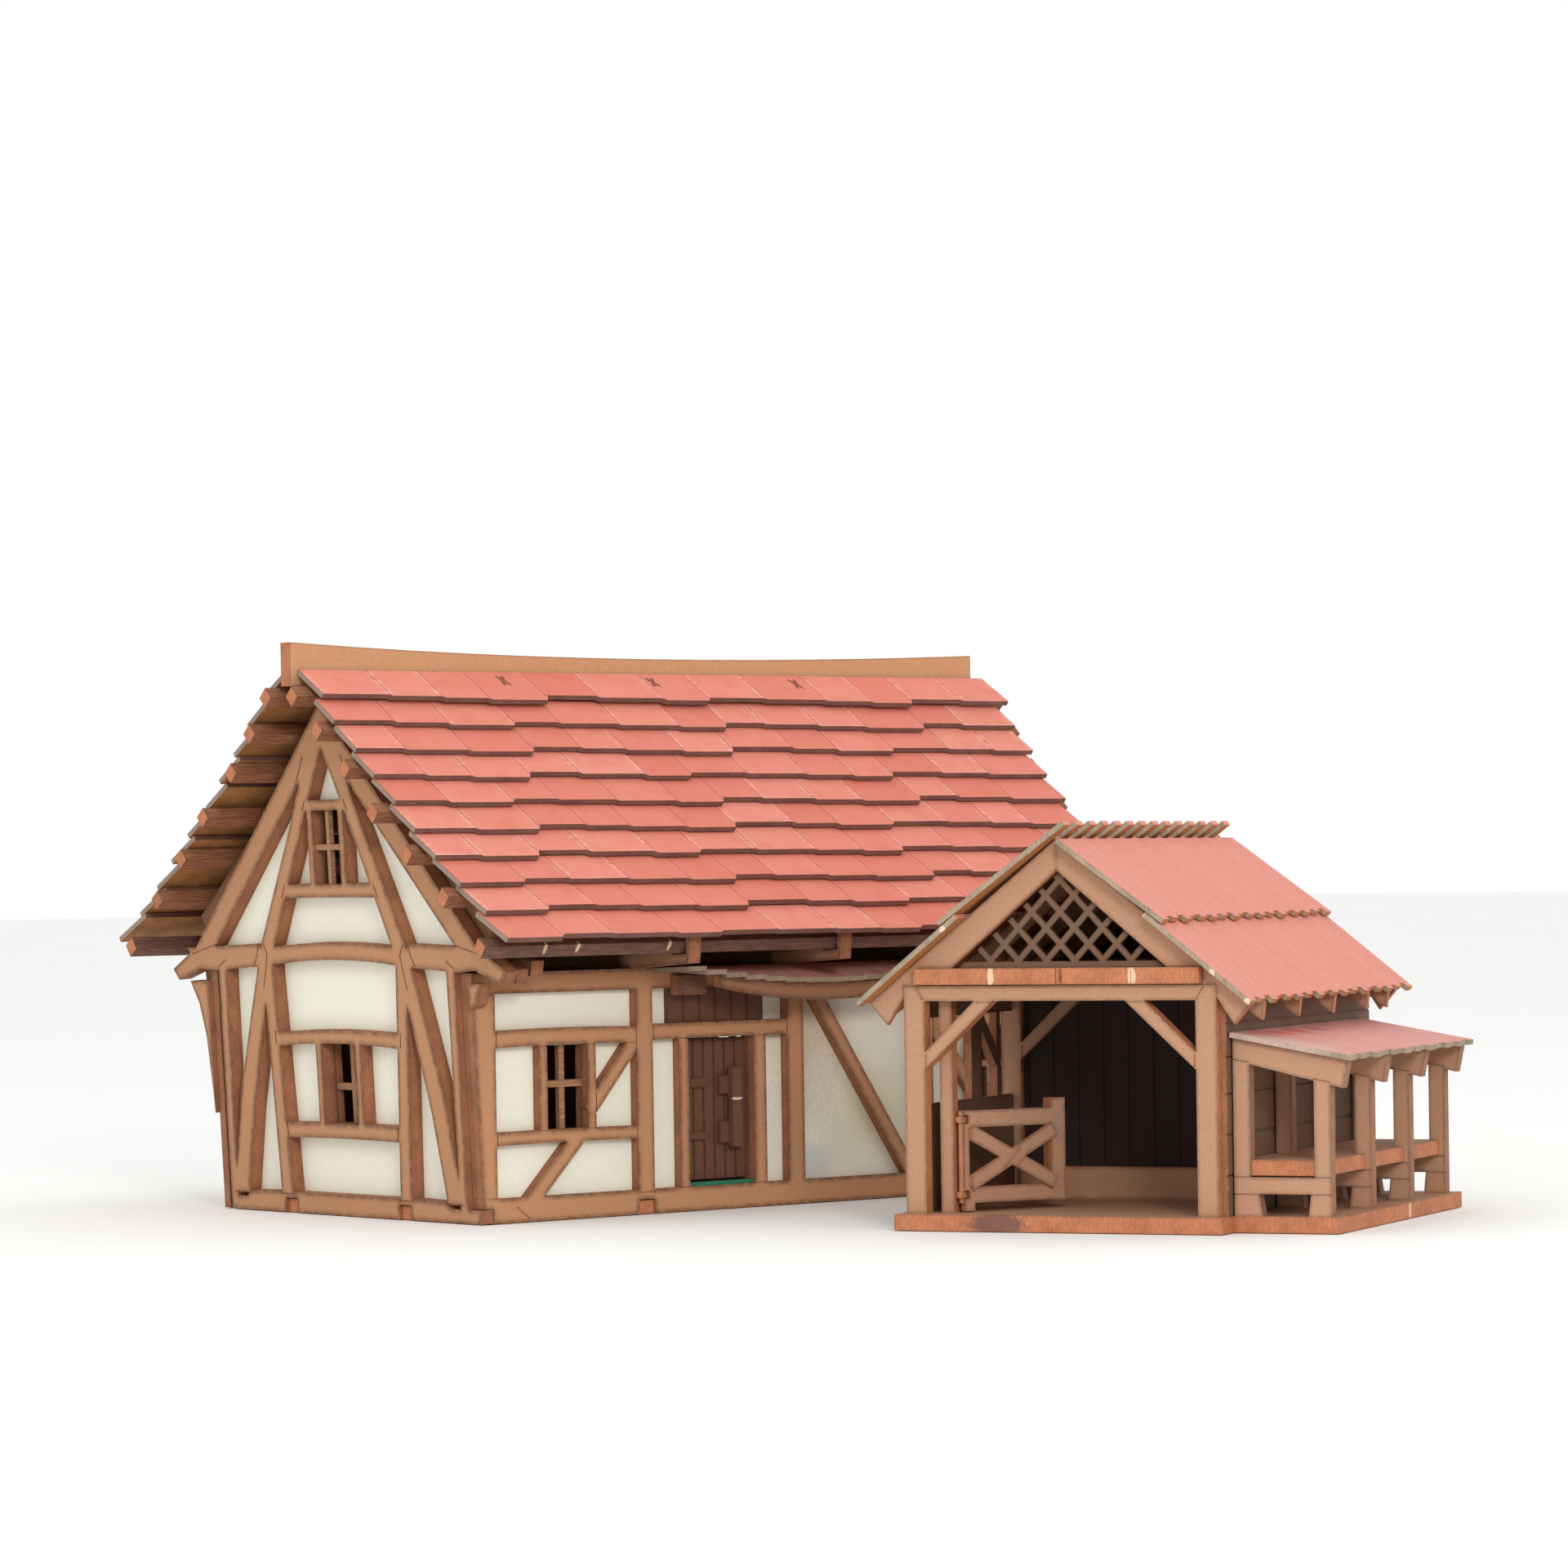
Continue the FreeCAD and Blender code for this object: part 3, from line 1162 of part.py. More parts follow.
def build_lean_to():
    inner = shed_width + 0.3
    post = 4.2
    outer = inner + 20.6
    frames_at = (lean_front, lean_front + 32.6, lean_front + 64.6, lean_front + 95.4)
    thick = 3.6
    tip = outer + post + 4.6
    for b in frames_at:
        rafter = [(inner, 42.2), (inner, lean_roof_inner - 0.2), (tip, lean_roof_at(tip - inner) - 0.2),
                  (tip - 1.4, 35.4)]
        outlines = [[(inner, base), (inner + post, base), (inner + post, 44.5), (inner, 44.5)],
                    [(outer, base), (outer + post, base), (outer + post, 39.0), (outer, 39.0)],
                    [(inner, 9.4), (outer + post, 9.4), (outer + post, 13.6), (inner, 13.6)],
                    [(inner, base), (inner + post + 3.0, base), (inner + post + 2.0, 10.0), (inner, 10.0)],
                    [(outer - 1.6, base), (outer + post, base), (outer + post, 10.0), (outer - 1.0, 10.0)],
                    rafter]
        frame = joined(outlines, b, b + thick)
        lines = [((inner, 13.6), (outer + post, 13.6)), ((inner, 9.4), (outer + post, 9.4)),
                 ((inner, 42.4), (inner + post, 41.6)),
                 ((outer, 37.6), (outer + post, 36.8))]
        tools = [sheet(timber(p, q, 0.35), b - 0.5, b + 0.3) for p, q in lines]
        keep("lean_to_frames", in_shed(cut(frame, tools)))
    far = lean_front + lean_length - 4.0
    shelf = box(inner + 0.05, outer + 2.6, lean_front + 0.4, far, 14.0, 17.7)
    slots = []
    for b in frames_at:
        slots.append(box(inner - 1, inner + post + fit_gap, b - fit_gap, b + thick + fit_gap, 10, 20))
        slots.append(box(outer - fit_gap, outer + post, b - fit_gap, b + thick + fit_gap, 10, 20))
    keep("manger_shelf", in_shed(cut(shelf, slots)))
    # roof boards with a ragged outer edge, a little dished
    span = 30.8
    b0 = lean_front - 2.5
    b1 = lean_front + lean_length
    tilt = math.atan(lean_roof_fall)
    edge = board_edge(b0, b1, 1.4, 5.0, RAGGED)
    outline = [(0.0, b0), (0.0, b1)] + [(span / math.cos(tilt) - depth, b) for b, depth in edge][::-1]
    roof = plate(outline, 0.0, shed_tile)
    roof.rotate(V(0, 0, 0), V(0, 1, 0), math.degrees(tilt))
    roof.translate(V(inner, 0, lean_roof_inner))
    keep("lean_to_roof", in_shed(roof))


def save():
    for name, shapes in PARTS.items():
        solids = [solid for shape in shapes for solid in shape.Solids]
        whole = solids[0] if len(solids) == 1 else Part.makeCompound(solids)
        whole.exportStep(os.path.join("parts", name + ".step"))
        bounds = whole.BoundBox
        print("%-26s %2d solids  x %7.1f %7.1f  y %7.1f %7.1f  z %6.1f %6.1f  valid %s" % (
            name, len(solids), bounds.XMin, bounds.XMax, bounds.YMin, bounds.YMax,
            bounds.ZMin, bounds.ZMax, whole.isValid()))


build_floor()
build_house_walls()
build_windows()
build_door()
build_door_surround()
build_canopy()
build_eave_trim()
build_house_roof()
build_shed_base()
build_shed_frames()
build_shed_walls()
build_loft()
build_gable_boards()
build_lattice()
build_shed_roof()
build_gate()
build_gate_hinges()
build_lean_to()
save()
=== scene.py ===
import bpy
import math
import random
from mathutils import Matrix, Vector


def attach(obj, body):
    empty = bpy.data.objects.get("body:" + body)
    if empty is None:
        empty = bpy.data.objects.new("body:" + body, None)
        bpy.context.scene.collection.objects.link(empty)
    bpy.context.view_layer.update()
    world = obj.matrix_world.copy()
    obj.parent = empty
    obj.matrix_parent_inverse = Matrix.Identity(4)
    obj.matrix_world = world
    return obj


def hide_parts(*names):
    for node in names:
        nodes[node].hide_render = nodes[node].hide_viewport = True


# Looks for the timber-framed house and its open stable: laser-cut wood fibre sheets with burnt
# outlines, plaster card panels and salmon shingles. Blender works in metres in the CAD part's own
# frame; sizes named after the part's are in millimetres and are multiplied by MM where they are used.

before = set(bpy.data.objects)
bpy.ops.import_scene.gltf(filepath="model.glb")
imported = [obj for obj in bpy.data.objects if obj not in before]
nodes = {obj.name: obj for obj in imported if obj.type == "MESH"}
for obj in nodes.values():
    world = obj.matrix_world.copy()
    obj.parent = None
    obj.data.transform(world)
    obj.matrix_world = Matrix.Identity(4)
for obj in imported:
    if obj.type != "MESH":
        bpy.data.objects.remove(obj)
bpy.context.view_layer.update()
MM = 0.001

# ------------------------------------------------------------------ directions
STABLE_TURN = math.radians(-63.5)
STABLE_X, STABLE_Y = -51.9, -161.3
ALONG = Vector((math.cos(STABLE_TURN), math.sin(STABLE_TURN), 0.0))     # across the stable's front
DEEP = Vector((-math.sin(STABLE_TURN), math.cos(STABLE_TURN), 0.0))     # from its front to its rear
GATE_TURN = STABLE_TURN + math.radians(53.5)
GATE_FACE = Vector((-math.sin(GATE_TURN), math.cos(GATE_TURN), 0.0))
X = Vector((1, 0, 0))
Y = Vector((0, 1, 0))
Z = Vector((0, 0, 1))


def in_stable(a, b, z):
    """A point of the stable's own frame (mm) in the part's frame (m)."""
    corner = Vector((STABLE_X, STABLE_Y, 0.0))
    return (corner + ALONG * a + DEEP * b + Z * z) * MM


# ------------------------------------------------------------------ colours, as sRGB 0-255
TIMBER = (184, 137, 101)
TIMBER_STABLE = (180, 140, 112)
RIDGE = (190, 144, 106)
CUT = (160, 106, 76)
CUT_BRIGHT = (188, 120, 84)
LEAN_CUT = (152, 110, 84)
BURNT = (52, 32, 24)
PLASTER = (236, 234, 218)
PLASTER_SCORCH_AND_SHADE = (206, 186, 132)
CARD_EDGE = (116, 80, 58)
DARK_TIMBER = (122, 86, 66)
PLANK_DARK = (104, 72, 56)
DEEP_SHADE = (48, 36, 34)
SALMON_STABLE = (222, 142, 126)
CANOPY_PINK = (222, 158, 148)
LEAN_PINK = (216, 150, 140)
UNDERSIDE = (172, 120, 72)
TILE_EDGE = (118, 84, 72)
TILE_DARK = (206, 112, 94)
TILE_LIGHT = (218, 134, 116)
TILE_SPECK = (226, 152, 134)
TILE_CLOUD = (200, 102, 84)
TILE_STREAK = (236, 186, 176)
TILE_SEAM = (150, 82, 70)
TILE_LOW_RIM = (196, 120, 102)
TILE_CROSS = (126, 66, 46)
VERGE_EDGE = (150, 130, 116)
BOARD_EDGE = (164, 146, 124)
BOARD_RIM = (120, 92, 78)
BOARD_SCUFF = (246, 190, 178)
PURLIN_SIDE = (108, 78, 66)
GREEN = (52, 124, 92)
GLUE = (232, 206, 168)
GLUE_PALE = (226, 208, 184)
# painted light for the front wall's plaster: a yellow painted reflection, a brown painted shadow and a
# blue-grey painted shade
PAINTED_REFLECTION_YELLOW = (226, 216, 168)
PAINTED_SHADOW_BROWN = (176, 146, 110)
PAINTED_SHADE_BLUE_GREY = (196, 204, 208)
SEAM_DARK = (84, 52, 40)
SCORCH_GREY = (96, 74, 74)
SMEAR_RED = (214, 92, 76)
SMEAR_PALE = (204, 174, 164)
FLOOR = (246, 246, 244)


def linear(rgb):
    """sRGB 0-255 to the scene's linear colour."""
    out = []
    for value in rgb:
        v = value / 255.0
        out.append(v / 12.92 if v <= 0.04045 else ((v + 0.055) / 1.055) ** 2.4)
    return (out[0], out[1], out[2], 1.0)


def shade(rgb, share):
    return tuple(value * share for value in rgb)


# ------------------------------------------------------------------ node helpers
MARK_REACH = 1.05       # a mark ends at this share of its half length, give or take its uneven rim
RIM_START = 0.997       # how far the rounded normal still follows the face where a burnt rim starts
RIM_FULL = 0.90         # and where it is full


class Paint:
    """Builds one material's node tree, from the part's own coordinates in metres."""

    def __init__(self, name, roughness):
        self.material = bpy.data.materials.new(name)
        self.material.use_nodes = True
        self.tree = self.material.node_tree
        self.shader = self.tree.nodes["Principled BSDF"]
        self.shader.inputs["Roughness"].default_value = roughness
        self.shader.inputs["Specular IOR Level"].default_value = 0.25
        self.place = self.add("ShaderNodeTexCoord")

    def add(self, kind):
        return self.tree.nodes.new(kind)

    def link(self, source, target):
        self.tree.links.new(source, target)

    def put(self, socket, value):
        """A link or a plain number or colour into a socket."""
        if isinstance(value, bpy.types.NodeSocket):
            self.link(value, socket)
        else:
            socket.default_value = value

    def attribute(self, name):
        """A number that build_shingles stores on the mesh."""
        node = self.add("ShaderNodeAttribute")
        node.attribute_name = name
        return node.outputs["Fac"]

    def math(self, kind, a, b=0.0):
        node = self.add("ShaderNodeMath")
        node.operation = kind
        self.put(node.inputs[0], a)
        self.put(node.inputs[1], b)
        return node.outputs[0]

    def dot(self, vector, direction):
        node = self.add("ShaderNodeVectorMath")
        node.operation = "DOT_PRODUCT"
        self.link(vector, node.inputs[0])
        self.put(node.inputs[1], direction)
        return node.outputs["Value"]

    def scaled(self, factors, vector=None):
        """A vector, or the place on the piece, times one factor for each axis."""
        node = self.add("ShaderNodeVectorMath")
        node.operation = "MULTIPLY"
        self.link(vector or self.place.outputs["Object"], node.inputs[0])
        node.inputs[1].default_value = factors
        return node.outputs[0]

    def noise(self, scale, detail=3.0, vector=None):
        node = self.add("ShaderNodeTexNoise")
        node.inputs["Scale"].default_value = scale
        node.inputs["Detail"].default_value = detail
        node.inputs["Roughness"].default_value = 0.55
        self.link(vector or self.place.outputs["Object"], node.inputs["Vector"])
        return node.outputs["Fac"]

    def span(self, value, low, high, out_low=0.0, out_high=1.0):
        """Maps low..high to out_low..out_high, held at the ends."""
        node = self.add("ShaderNodeMapRange")
        self.put(node.inputs["Value"], value)
        node.inputs["From Min"].default_value = low
        node.inputs["From Max"].default_value = high
        node.inputs["To Min"].default_value = out_low
        node.inputs["To Max"].default_value = out_high
        return node.outputs[0]

    def mix(self, factor, a, b):
        """Colour a at factor 0 and colour b at factor 1."""
        node = self.add("ShaderNodeMix")
        node.data_type = "RGBA"
        self.put(node.inputs["Factor"], factor)
        self.put(node.inputs["A"], a)
        self.put(node.inputs["B"], b)
        return node.outputs["Result"]

    def rims(self, radius):
        """1 along every outline, burnt line and corner, 0 on the open sheet."""
        bevel = self.add("ShaderNodeBevel")
        bevel.samples = 6
        bevel.inputs["Radius"].default_value = radius
        shape = self.add("ShaderNodeNewGeometry")
        turned = self.dot(bevel.outputs["Normal"], shape.outputs["True Normal"])
        return self.span(self.math("ABSOLUTE", turned), RIM_START, RIM_FULL)

    def on_face(self, direction, steep=0.82):
        """1 on the sheet's two faces, 0 on its cut edges."""
        along = self.dot(self.place.outputs["Normal"], direction)
        return self.math("GREATER_THAN", self.math("ABSOLUTE", along), steep)

    def mark(self, colour, middle, size, tint, strength, edge=0.3):
        """An uneven spot, used for glue, burns, smears, painted shade and painted reflected light; size is
        its half length along x, y and z.
        """
        away = self.add("ShaderNodeVectorMath")
        away.operation = "SUBTRACT"
        self.link(self.place.outputs["Object"], away.inputs[0])
        away.inputs[1].default_value = middle
        share = self.scaled([1.0 / part for part in size], away.outputs[0])
        reach = self.add("ShaderNodeVectorMath")
        reach.operation = "LENGTH"
        self.link(share, reach.inputs[0])
        uneven = self.math("MULTIPLY", self.math("SUBTRACT", self.noise(900.0, 2.0), 0.5), 0.9)
        reached = self.math("ADD", reach.outputs["Value"], uneven)
        inside = self.span(reached, MARK_REACH, MARK_REACH - edge, 0.0, strength)
        return self.mix(inside, colour, linear(tint))

    def bump(self, height, strength, distance):
        """Fine relief from a height of 0 to 1."""
        node = self.add("ShaderNodeBump")
        node.inputs["Strength"].default_value = strength
        node.inputs["Distance"].default_value = distance
        self.link(height, node.inputs["Height"])
        self.link(node.outputs["Normal"], self.shader.inputs["Normal"])

    def finish(self, colour):
        self.link(colour, self.shader.inputs["Base Color"])
        return self.material


# ------------------------------------------------------------------ materials
def fibre(paint, colour, amount=1.0):
    """The mottled face of a wood fibre sheet."""
    speck = paint.span(paint.noise(2600.0, 2.0), 0.3, 0.7)
    cloud = paint.span(paint.noise(90.0, 4.0), 0.3, 0.7)
    darker = shade(colour, 1.0 - 0.075 * amount)
    lighter = shade(colour, 1.0 + 0.05 * amount)
    tone = paint.mix(speck, linear(darker), linear(lighter))
    warm = (min(255.0, colour[0] * 1.03), colour[1] * 0.94, colour[2] * 0.88)
    return paint.mix(paint.math("MULTIPLY", cloud, 0.45 * amount), tone, linear(warm))


def cut_edge(paint, colour, dark=0.3):
    """A laser-cut edge: brown with upright fibres, some spots burnt darker, some left pale."""
    fine = paint.span(paint.noise(1.0, 3.0, paint.scaled((3200.0, 3200.0, 700.0))), 0.35, 0.68)
    patch = paint.span(paint.noise(160.0, 3.0), 0.42, 0.66)
    tone = paint.mix(fine, linear(shade(colour, 0.9)), linear(shade(colour, 1.08)))
    return paint.mix(paint.math("MULTIPLY", patch, dark), tone, linear(shade(colour, 0.58)))


def sheet_paint(name, face, cut, direction, rim=0.0026, burn=0.8, marks=()):
    """A laser-cut sheet that faces along direction: mottled faces, cut edges, burnt outlines."""
    paint = Paint(name, 0.72)
    flat = paint.on_face(direction)
    face_colour = fibre(paint, face)
    colour = paint.mix(flat, cut_edge(paint, cut), face_colour)
    rims = paint.rims(rim)
    worn = paint.span(paint.noise(420.0, 2.0), 0.3, 0.62, 0.45, 1.0)
    strength = paint.math("MULTIPLY", paint.math("MULTIPLY", rims, worn), burn)
    only_face = paint.math("MULTIPLY", strength, paint.span(flat, 0.0, 1.0, 0.35, 1.0))
    colour = paint.mix(only_face, colour, linear(BURNT))
    for mark in marks:
        colour = paint.mark(colour, *mark)
    paint.bump(paint.noise(1800.0, 3.0), 0.22, 0.00012)
    return paint.finish(colour)


def plaster_paint(name, direction, marks=()):
    """Off-white card with brown burnt edges; tinted yellow in the corners beside the timbers, partly the
    card's scorching and partly painted shade.
    """
    paint = Paint(name, 0.85)
    grain = paint.span(paint.noise(700.0, 4.0), 0.3, 0.7)
    colour = paint.mix(grain, linear(shade(PLASTER, 0.992)), linear(shade(PLASTER, 1.008)))
    # an ambient-occlusion mask: the yellow tint in the corners beside the timbers is partly the card's
    # scorching and partly painted shade
    near = paint.add("ShaderNodeAmbientOcclusion")
    near.samples = 8
    near.inputs["Distance"].default_value = 0.0016
    scorch_and_shade = paint.span(near.outputs["AO"], 0.8, 0.3, 0.0, 0.42)
    cloud = paint.span(paint.noise(120.0, 3.0), 0.35, 0.7, 0.5, 1.0)
    colour = paint.mix(paint.math("MULTIPLY", scorch_and_shade, cloud), colour, linear(PLASTER_SCORCH_AND_SHADE))
    for mark in marks:
        colour = paint.mark(colour, *mark)
    colour = paint.mix(paint.on_face(direction), cut_edge(paint, CARD_EDGE), colour)
    paint.bump(grain, 0.05, 0.00005)
    return paint.finish(colour)


def boards_paint(name, face, pitch, line, across=DEEP, edge=BOARD_EDGE, under=UNDERSIDE, marks=()):
    """Salmon roof sheet engraved as narrow boards that run down the slope; line is the engraved
    line's half width as a share of a board."""
    paint = Paint(name, 0.7)
    place = paint.dot(paint.place.outputs["Object"], across)
    wander = paint.math("MULTIPLY", paint.math("SUBTRACT", paint.noise(55.0, 1.0), 0.5), pitch * 0.5)
    count = paint.math("DIVIDE", paint.math("ADD", place, wander), pitch)
    board = paint.math("FLOOR", count)
    share = paint.math("FRACT", count)
    tone = paint.add("ShaderNodeTexWhiteNoise")
    tone.noise_dimensions = "1D"
    paint.link(board, tone.inputs["W"])
    own_tone = paint.math("MULTIPLY", tone.outputs["Value"], 0.5)
    light = paint.mix(own_tone, linear(face), linear(shade(face, 0.93)))
    scuffs = paint.noise(1.0, 3.0, paint.scaled((420.0, 420.0, 420.0)))
    streak = paint.span(scuffs, 0.45, 0.75, 0.0, 0.14)
    light = paint.mix(streak, light, linear(BOARD_SCUFF))
    near = paint.math("MINIMUM", share, paint.math("SUBTRACT", 1.0, share))
    engraved = paint.span(near, line, line * 2.2, 0.32, 0.0)
    colour = paint.mix(engraved, light, linear(shade(face, 0.62)))
    up = paint.dot(paint.place.outputs["Normal"], Z)
    colour = paint.mix(paint.math("GREATER_THAN", up, 0.5), cut_edge(paint, edge, 0.35), colour)
    below = paint.math("LESS_THAN", up, -0.5)
    colour = paint.mix(below, colour, fibre(paint, under, 2.2))
    rims = paint.rims(0.0004)
    colour = paint.mix(paint.math("MULTIPLY", rims, 0.3), colour, linear(BOARD_RIM))
    for mark in marks:
        colour = paint.mark(colour, *mark)
    paint.bump(paint.noise(1500.0, 3.0), 0.15, 0.00012)
    return paint.finish(colour)


def ridge_cross(paint, colour, x):
    """A small dark cross on the front slope's first strip, at x in mm."""
    away = paint.add("ShaderNodeVectorMath")
    away.operation = "SUBTRACT"
    paint.link(paint.place.outputs["Object"], away.inputs[0])
    away.inputs[1].default_value = Vector((x, CROSS_Y, CROSS_Z)) * MM
    level = paint.math("ABSOLUTE", paint.dot(away.outputs[0], X))
    upright = paint.math("ABSOLUTE", paint.dot(away.outputs[0], Z))
    arm = paint.math("ABSOLUTE", paint.math("SUBTRACT", level, upright))
    arms = paint.span(arm, 0.0009, 0.0006)
    near = paint.span(paint.math("MAXIMUM", level, upright), 0.0015, 0.0012)
    front = paint.span(paint.math("ABSOLUTE", paint.dot(away.outputs[0], Y)), 0.006, 0.005)
    cross = paint.math("MULTIPLY", paint.math("MULTIPLY", arms, near), front)
    return paint.mix(paint.math("MULTIPLY", cross, 0.9), colour, linear(TILE_CROSS))


def tile_top_paint():
    """Top of the house's shingles: a tone for each tile, dark seams and pale scuffed streaks."""
    paint = Paint("shingle_top", 0.66)
    tone, across, down = (paint.attribute(name) for name in ("tone", "across", "down"))
    base = paint.mix(tone, linear(TILE_DARK), linear(TILE_LIGHT))
    speck = paint.span(paint.noise(2200.0, 2.0), 0.32, 0.7)
    base = paint.mix(paint.math("MULTIPLY", speck, 0.22), base, linear(TILE_SPECK))
    cloud = paint.span(paint.noise(150.0, 3.0), 0.45, 0.75)
    base = paint.mix(paint.math("MULTIPLY", cloud, 0.4), base, linear(TILE_CLOUD))
    broken = paint.span(paint.noise(1.0, 3.0, paint.scaled((260.0, 900.0, 900.0))), 0.42, 0.62)
    beside_seam = paint.span(across, 0.0006, 0.0019, 1.0, 0.0)
    some_tiles = paint.span(tone, 0.45, 0.8, 0.05, 0.5)
    streak = paint.math("MULTIPLY", paint.math("MULTIPLY", beside_seam, broken), some_tiles)
    base = paint.mix(streak, base, linear(TILE_STREAK))
    seam = paint.span(across, 0.00014, 0.00034, 0.62, 0.0)
    base = paint.mix(seam, base, linear(TILE_SEAM))
    low_rim = paint.span(down, 0.0, 0.0007, 0.35, 0.0)
    base = paint.mix(low_rim, base, linear(TILE_LOW_RIM))
    for x in CROSSES_X:
        base = ridge_cross(paint, base, x)
    paint.bump(paint.noise(1300.0, 3.0), 0.2, 0.00012)
    return paint.finish(base)


def plain_sheet_paint(name, colour, roughness, patchy=0.5, verge=None):
    """Plain sheet; a verge colour goes on what faces along the ridge."""
    paint = Paint(name, roughness)
    fine = paint.span(paint.noise(1.0, 3.0, paint.scaled((1500.0, 1500.0, 2200.0))), 0.32, 0.7)
    patch = paint.span(paint.noise(190.0, 3.0), 0.4, 0.7)
    tone = paint.mix(fine, linear(shade(colour, 0.9)), linear(shade(colour, 1.1)))
    tone = paint.mix(paint.math("MULTIPLY", patch, patchy), tone, linear(shade(colour, 0.72)))
    if verge is not None:
        tone = paint.mix(paint.on_face(X), tone, linear(verge))
    rims = paint.math("MULTIPLY", paint.rims(0.0003), 0.45)
    tone = paint.mix(rims, tone, linear(shade(colour, 0.45)))
    paint.bump(fine, 0.2, 0.0001)
    return paint.finish(tone)


def bar_paint(name, side, end, direction, marks=()):
    """Square bars: brown burnt sides, brighter ends."""
    paint = Paint(name, 0.72)
    face = paint.on_face(direction, 0.7)
    long_grain = paint.span(paint.noise(1.0, 3.0, paint.scaled((240.0, 1900.0, 1900.0))), 0.32, 0.7)
    sides = paint.mix(long_grain, linear(shade(side, 0.82)), linear(shade(side, 1.14)))
    colour = paint.mix(face, sides, cut_edge(paint, end, 0.35))
    rims = paint.math("MULTIPLY", paint.rims(0.0004), 0.55)
    colour = paint.mix(rims, colour, linear(BURNT))
    for mark in marks:
        colour = paint.mark(colour, *mark)
    paint.bump(long_grain, 0.25, 0.00012)
    return paint.finish(colour)


# ------------------------------------------------------------------ marks
# Each mark is (middle, half lengths along x, y and z, tint, strength), with the width of its soft
# rim as a sixth value where it is not the usual one. Half lengths are in metres.
WALL_FRONT = -56.5          # mm; just before the front wall's plaster
LOFT_EDGE = (1.3, 63.1)     # mm; the loft floor's front edge, in from the stable's front, and height
VERGE_MIDDLE = 43.1         # mm; the stable roof's front verge, across the stable's front
VERGE_HALF = 51.3           # mm; from its middle to its lower end
VERGE_TOP = 97.6            # mm; height at the middle
VERGE_FALL = 41.2           # mm; from the middle down to the lower end


def on_wall(x, z):
    """A point on the front wall's plaster, from mm."""
    return Vector((x, WALL_FRONT, z)) * MM


glue_verge = []
for share, side in ((0.1, -1), (0.36, 1), (0.47, 1), (0.55, -1), (0.82, 1), (0.99, 1)):
    verge = in_stable(VERGE_MIDDLE + side * VERGE_HALF * share, -2.0, VERGE_TOP - VERGE_FALL * share)
    glue_verge.append((verge, (0.0009, 0.0009, 0.0009), GLUE_PALE, 0.8))
# Painted light on the front wall's plaster right of the door: a yellow painted reflection, a brown painted
# shadow at the upper left and a blue-grey painted shade low down.
painted_light_patches = [
    (on_wall(30.0, 24.0), (0.020, 0.003, 0.020), PAINTED_REFLECTION_YELLOW, 0.45, 0.9),
    (on_wall(8.0, 44.0), (0.016, 0.003, 0.026), PAINTED_SHADOW_BROWN, 0.5, 0.9),
    (on_wall(10.0, 11.0), (0.010, 0.003, 0.006), PAINTED_SHADE_BLUE_GREY, 0.6, 0.7),
]
base_marks = [(in_stable(a, *LOFT_EDGE), (0.0009, 0.0012, 0.0024), GLUE, 0.75) for a in (26.0, 63.2)]
base_marks.append((in_stable(44.6, *LOFT_EDGE), (0.0005, 0.0006, 0.0024), SEAM_DARK, 0.7))
base_marks.append((in_stable(27.5, 0.0, 2.0), (0.0065, 0.0085, 0.0026), SCORCH_GREY, 0.75))
base_marks.append((in_stable(113.2, 66.5, 2.0), (0.0012, 0.0014, 0.0024), GLUE, 0.6))
glue_eave = []
for x in (-99.0, -88.5, -58.5, 2.0):
    glue_eave.append((Vector((x, -81.9, 71.2)) * MM, (0.0006, 0.003, 0.0018), GLUE, 0.75))
glue_pull = [(Vector((-17.5, -58.7, 29.2)) * MM, (0.0022, 0.0006, 0.0004), GLUE, 0.8)]
smears = []
for b in (17.0, 29.0, 42.0, 58.0):
    smears.append((in_stable(92.0, b, 48.0), (0.0055, 0.0028, 0.004), SMEAR_RED, 0.6))
for a in (94.0, 106.0):
    smears.append((in_stable(a, 11.0, 46.5), (0.011, 0.009, 0.006), SMEAR_PALE, 0.6, 0.6))


# ------------------------------------------------------------------ which material goes where
def assign(material, *names):
    """Gives one material to the CAD pieces named."""
    for name in names:
        mesh = nodes[name].data
        mesh.materials.clear()
        mesh.materials.append(material)


FRAME_RIM = {"rim": 0.0016, "burn": 0.55}
STABLE_PITCH = 2.05 * MM    # from one engraved board to the next, on each of the stable's sheets
LEAN_PITCH = 2.5 * MM
CANOPY_PITCH = 6.8 * MM

# the house's walls
assign(sheet_paint("timber_long_walls", TIMBER, CUT, Y), "front_wall_timbers", "rear_wall_timbers")
assign(sheet_paint("timber_gables", shade(TIMBER, 0.98), CUT, X),
       "left_gable_timbers", "right_gable_timbers", "corner_knees")
# the front wall's plaster carries the patches of painted shadow, painted shade and painted reflection
assign(plaster_paint("plaster_long_walls", Y, painted_light_patches), "front_wall_plaster", "rear_wall_plaster")
assign(plaster_paint("plaster_gables", X), "left_gable_plaster", "right_gable_plaster")
assign(sheet_paint("core_sheet", shade(TIMBER, 0.72), CUT, Y, burn=0.5), "front_wall_core", "rear_wall_core")
assign(sheet_paint("core_sheet_across", shade(TIMBER, 0.72), CUT, X, burn=0.5),
       "left_gable_core", "right_gable_core", "roof_formers")
assign(sheet_paint("floor_sheet", shade(TIMBER, 0.85), CUT_BRIGHT, Z, rim=0.0008), "house_floor")
assign(bar_paint("window_bars", shade(TIMBER, 0.86), CUT, Z), "window_bars")

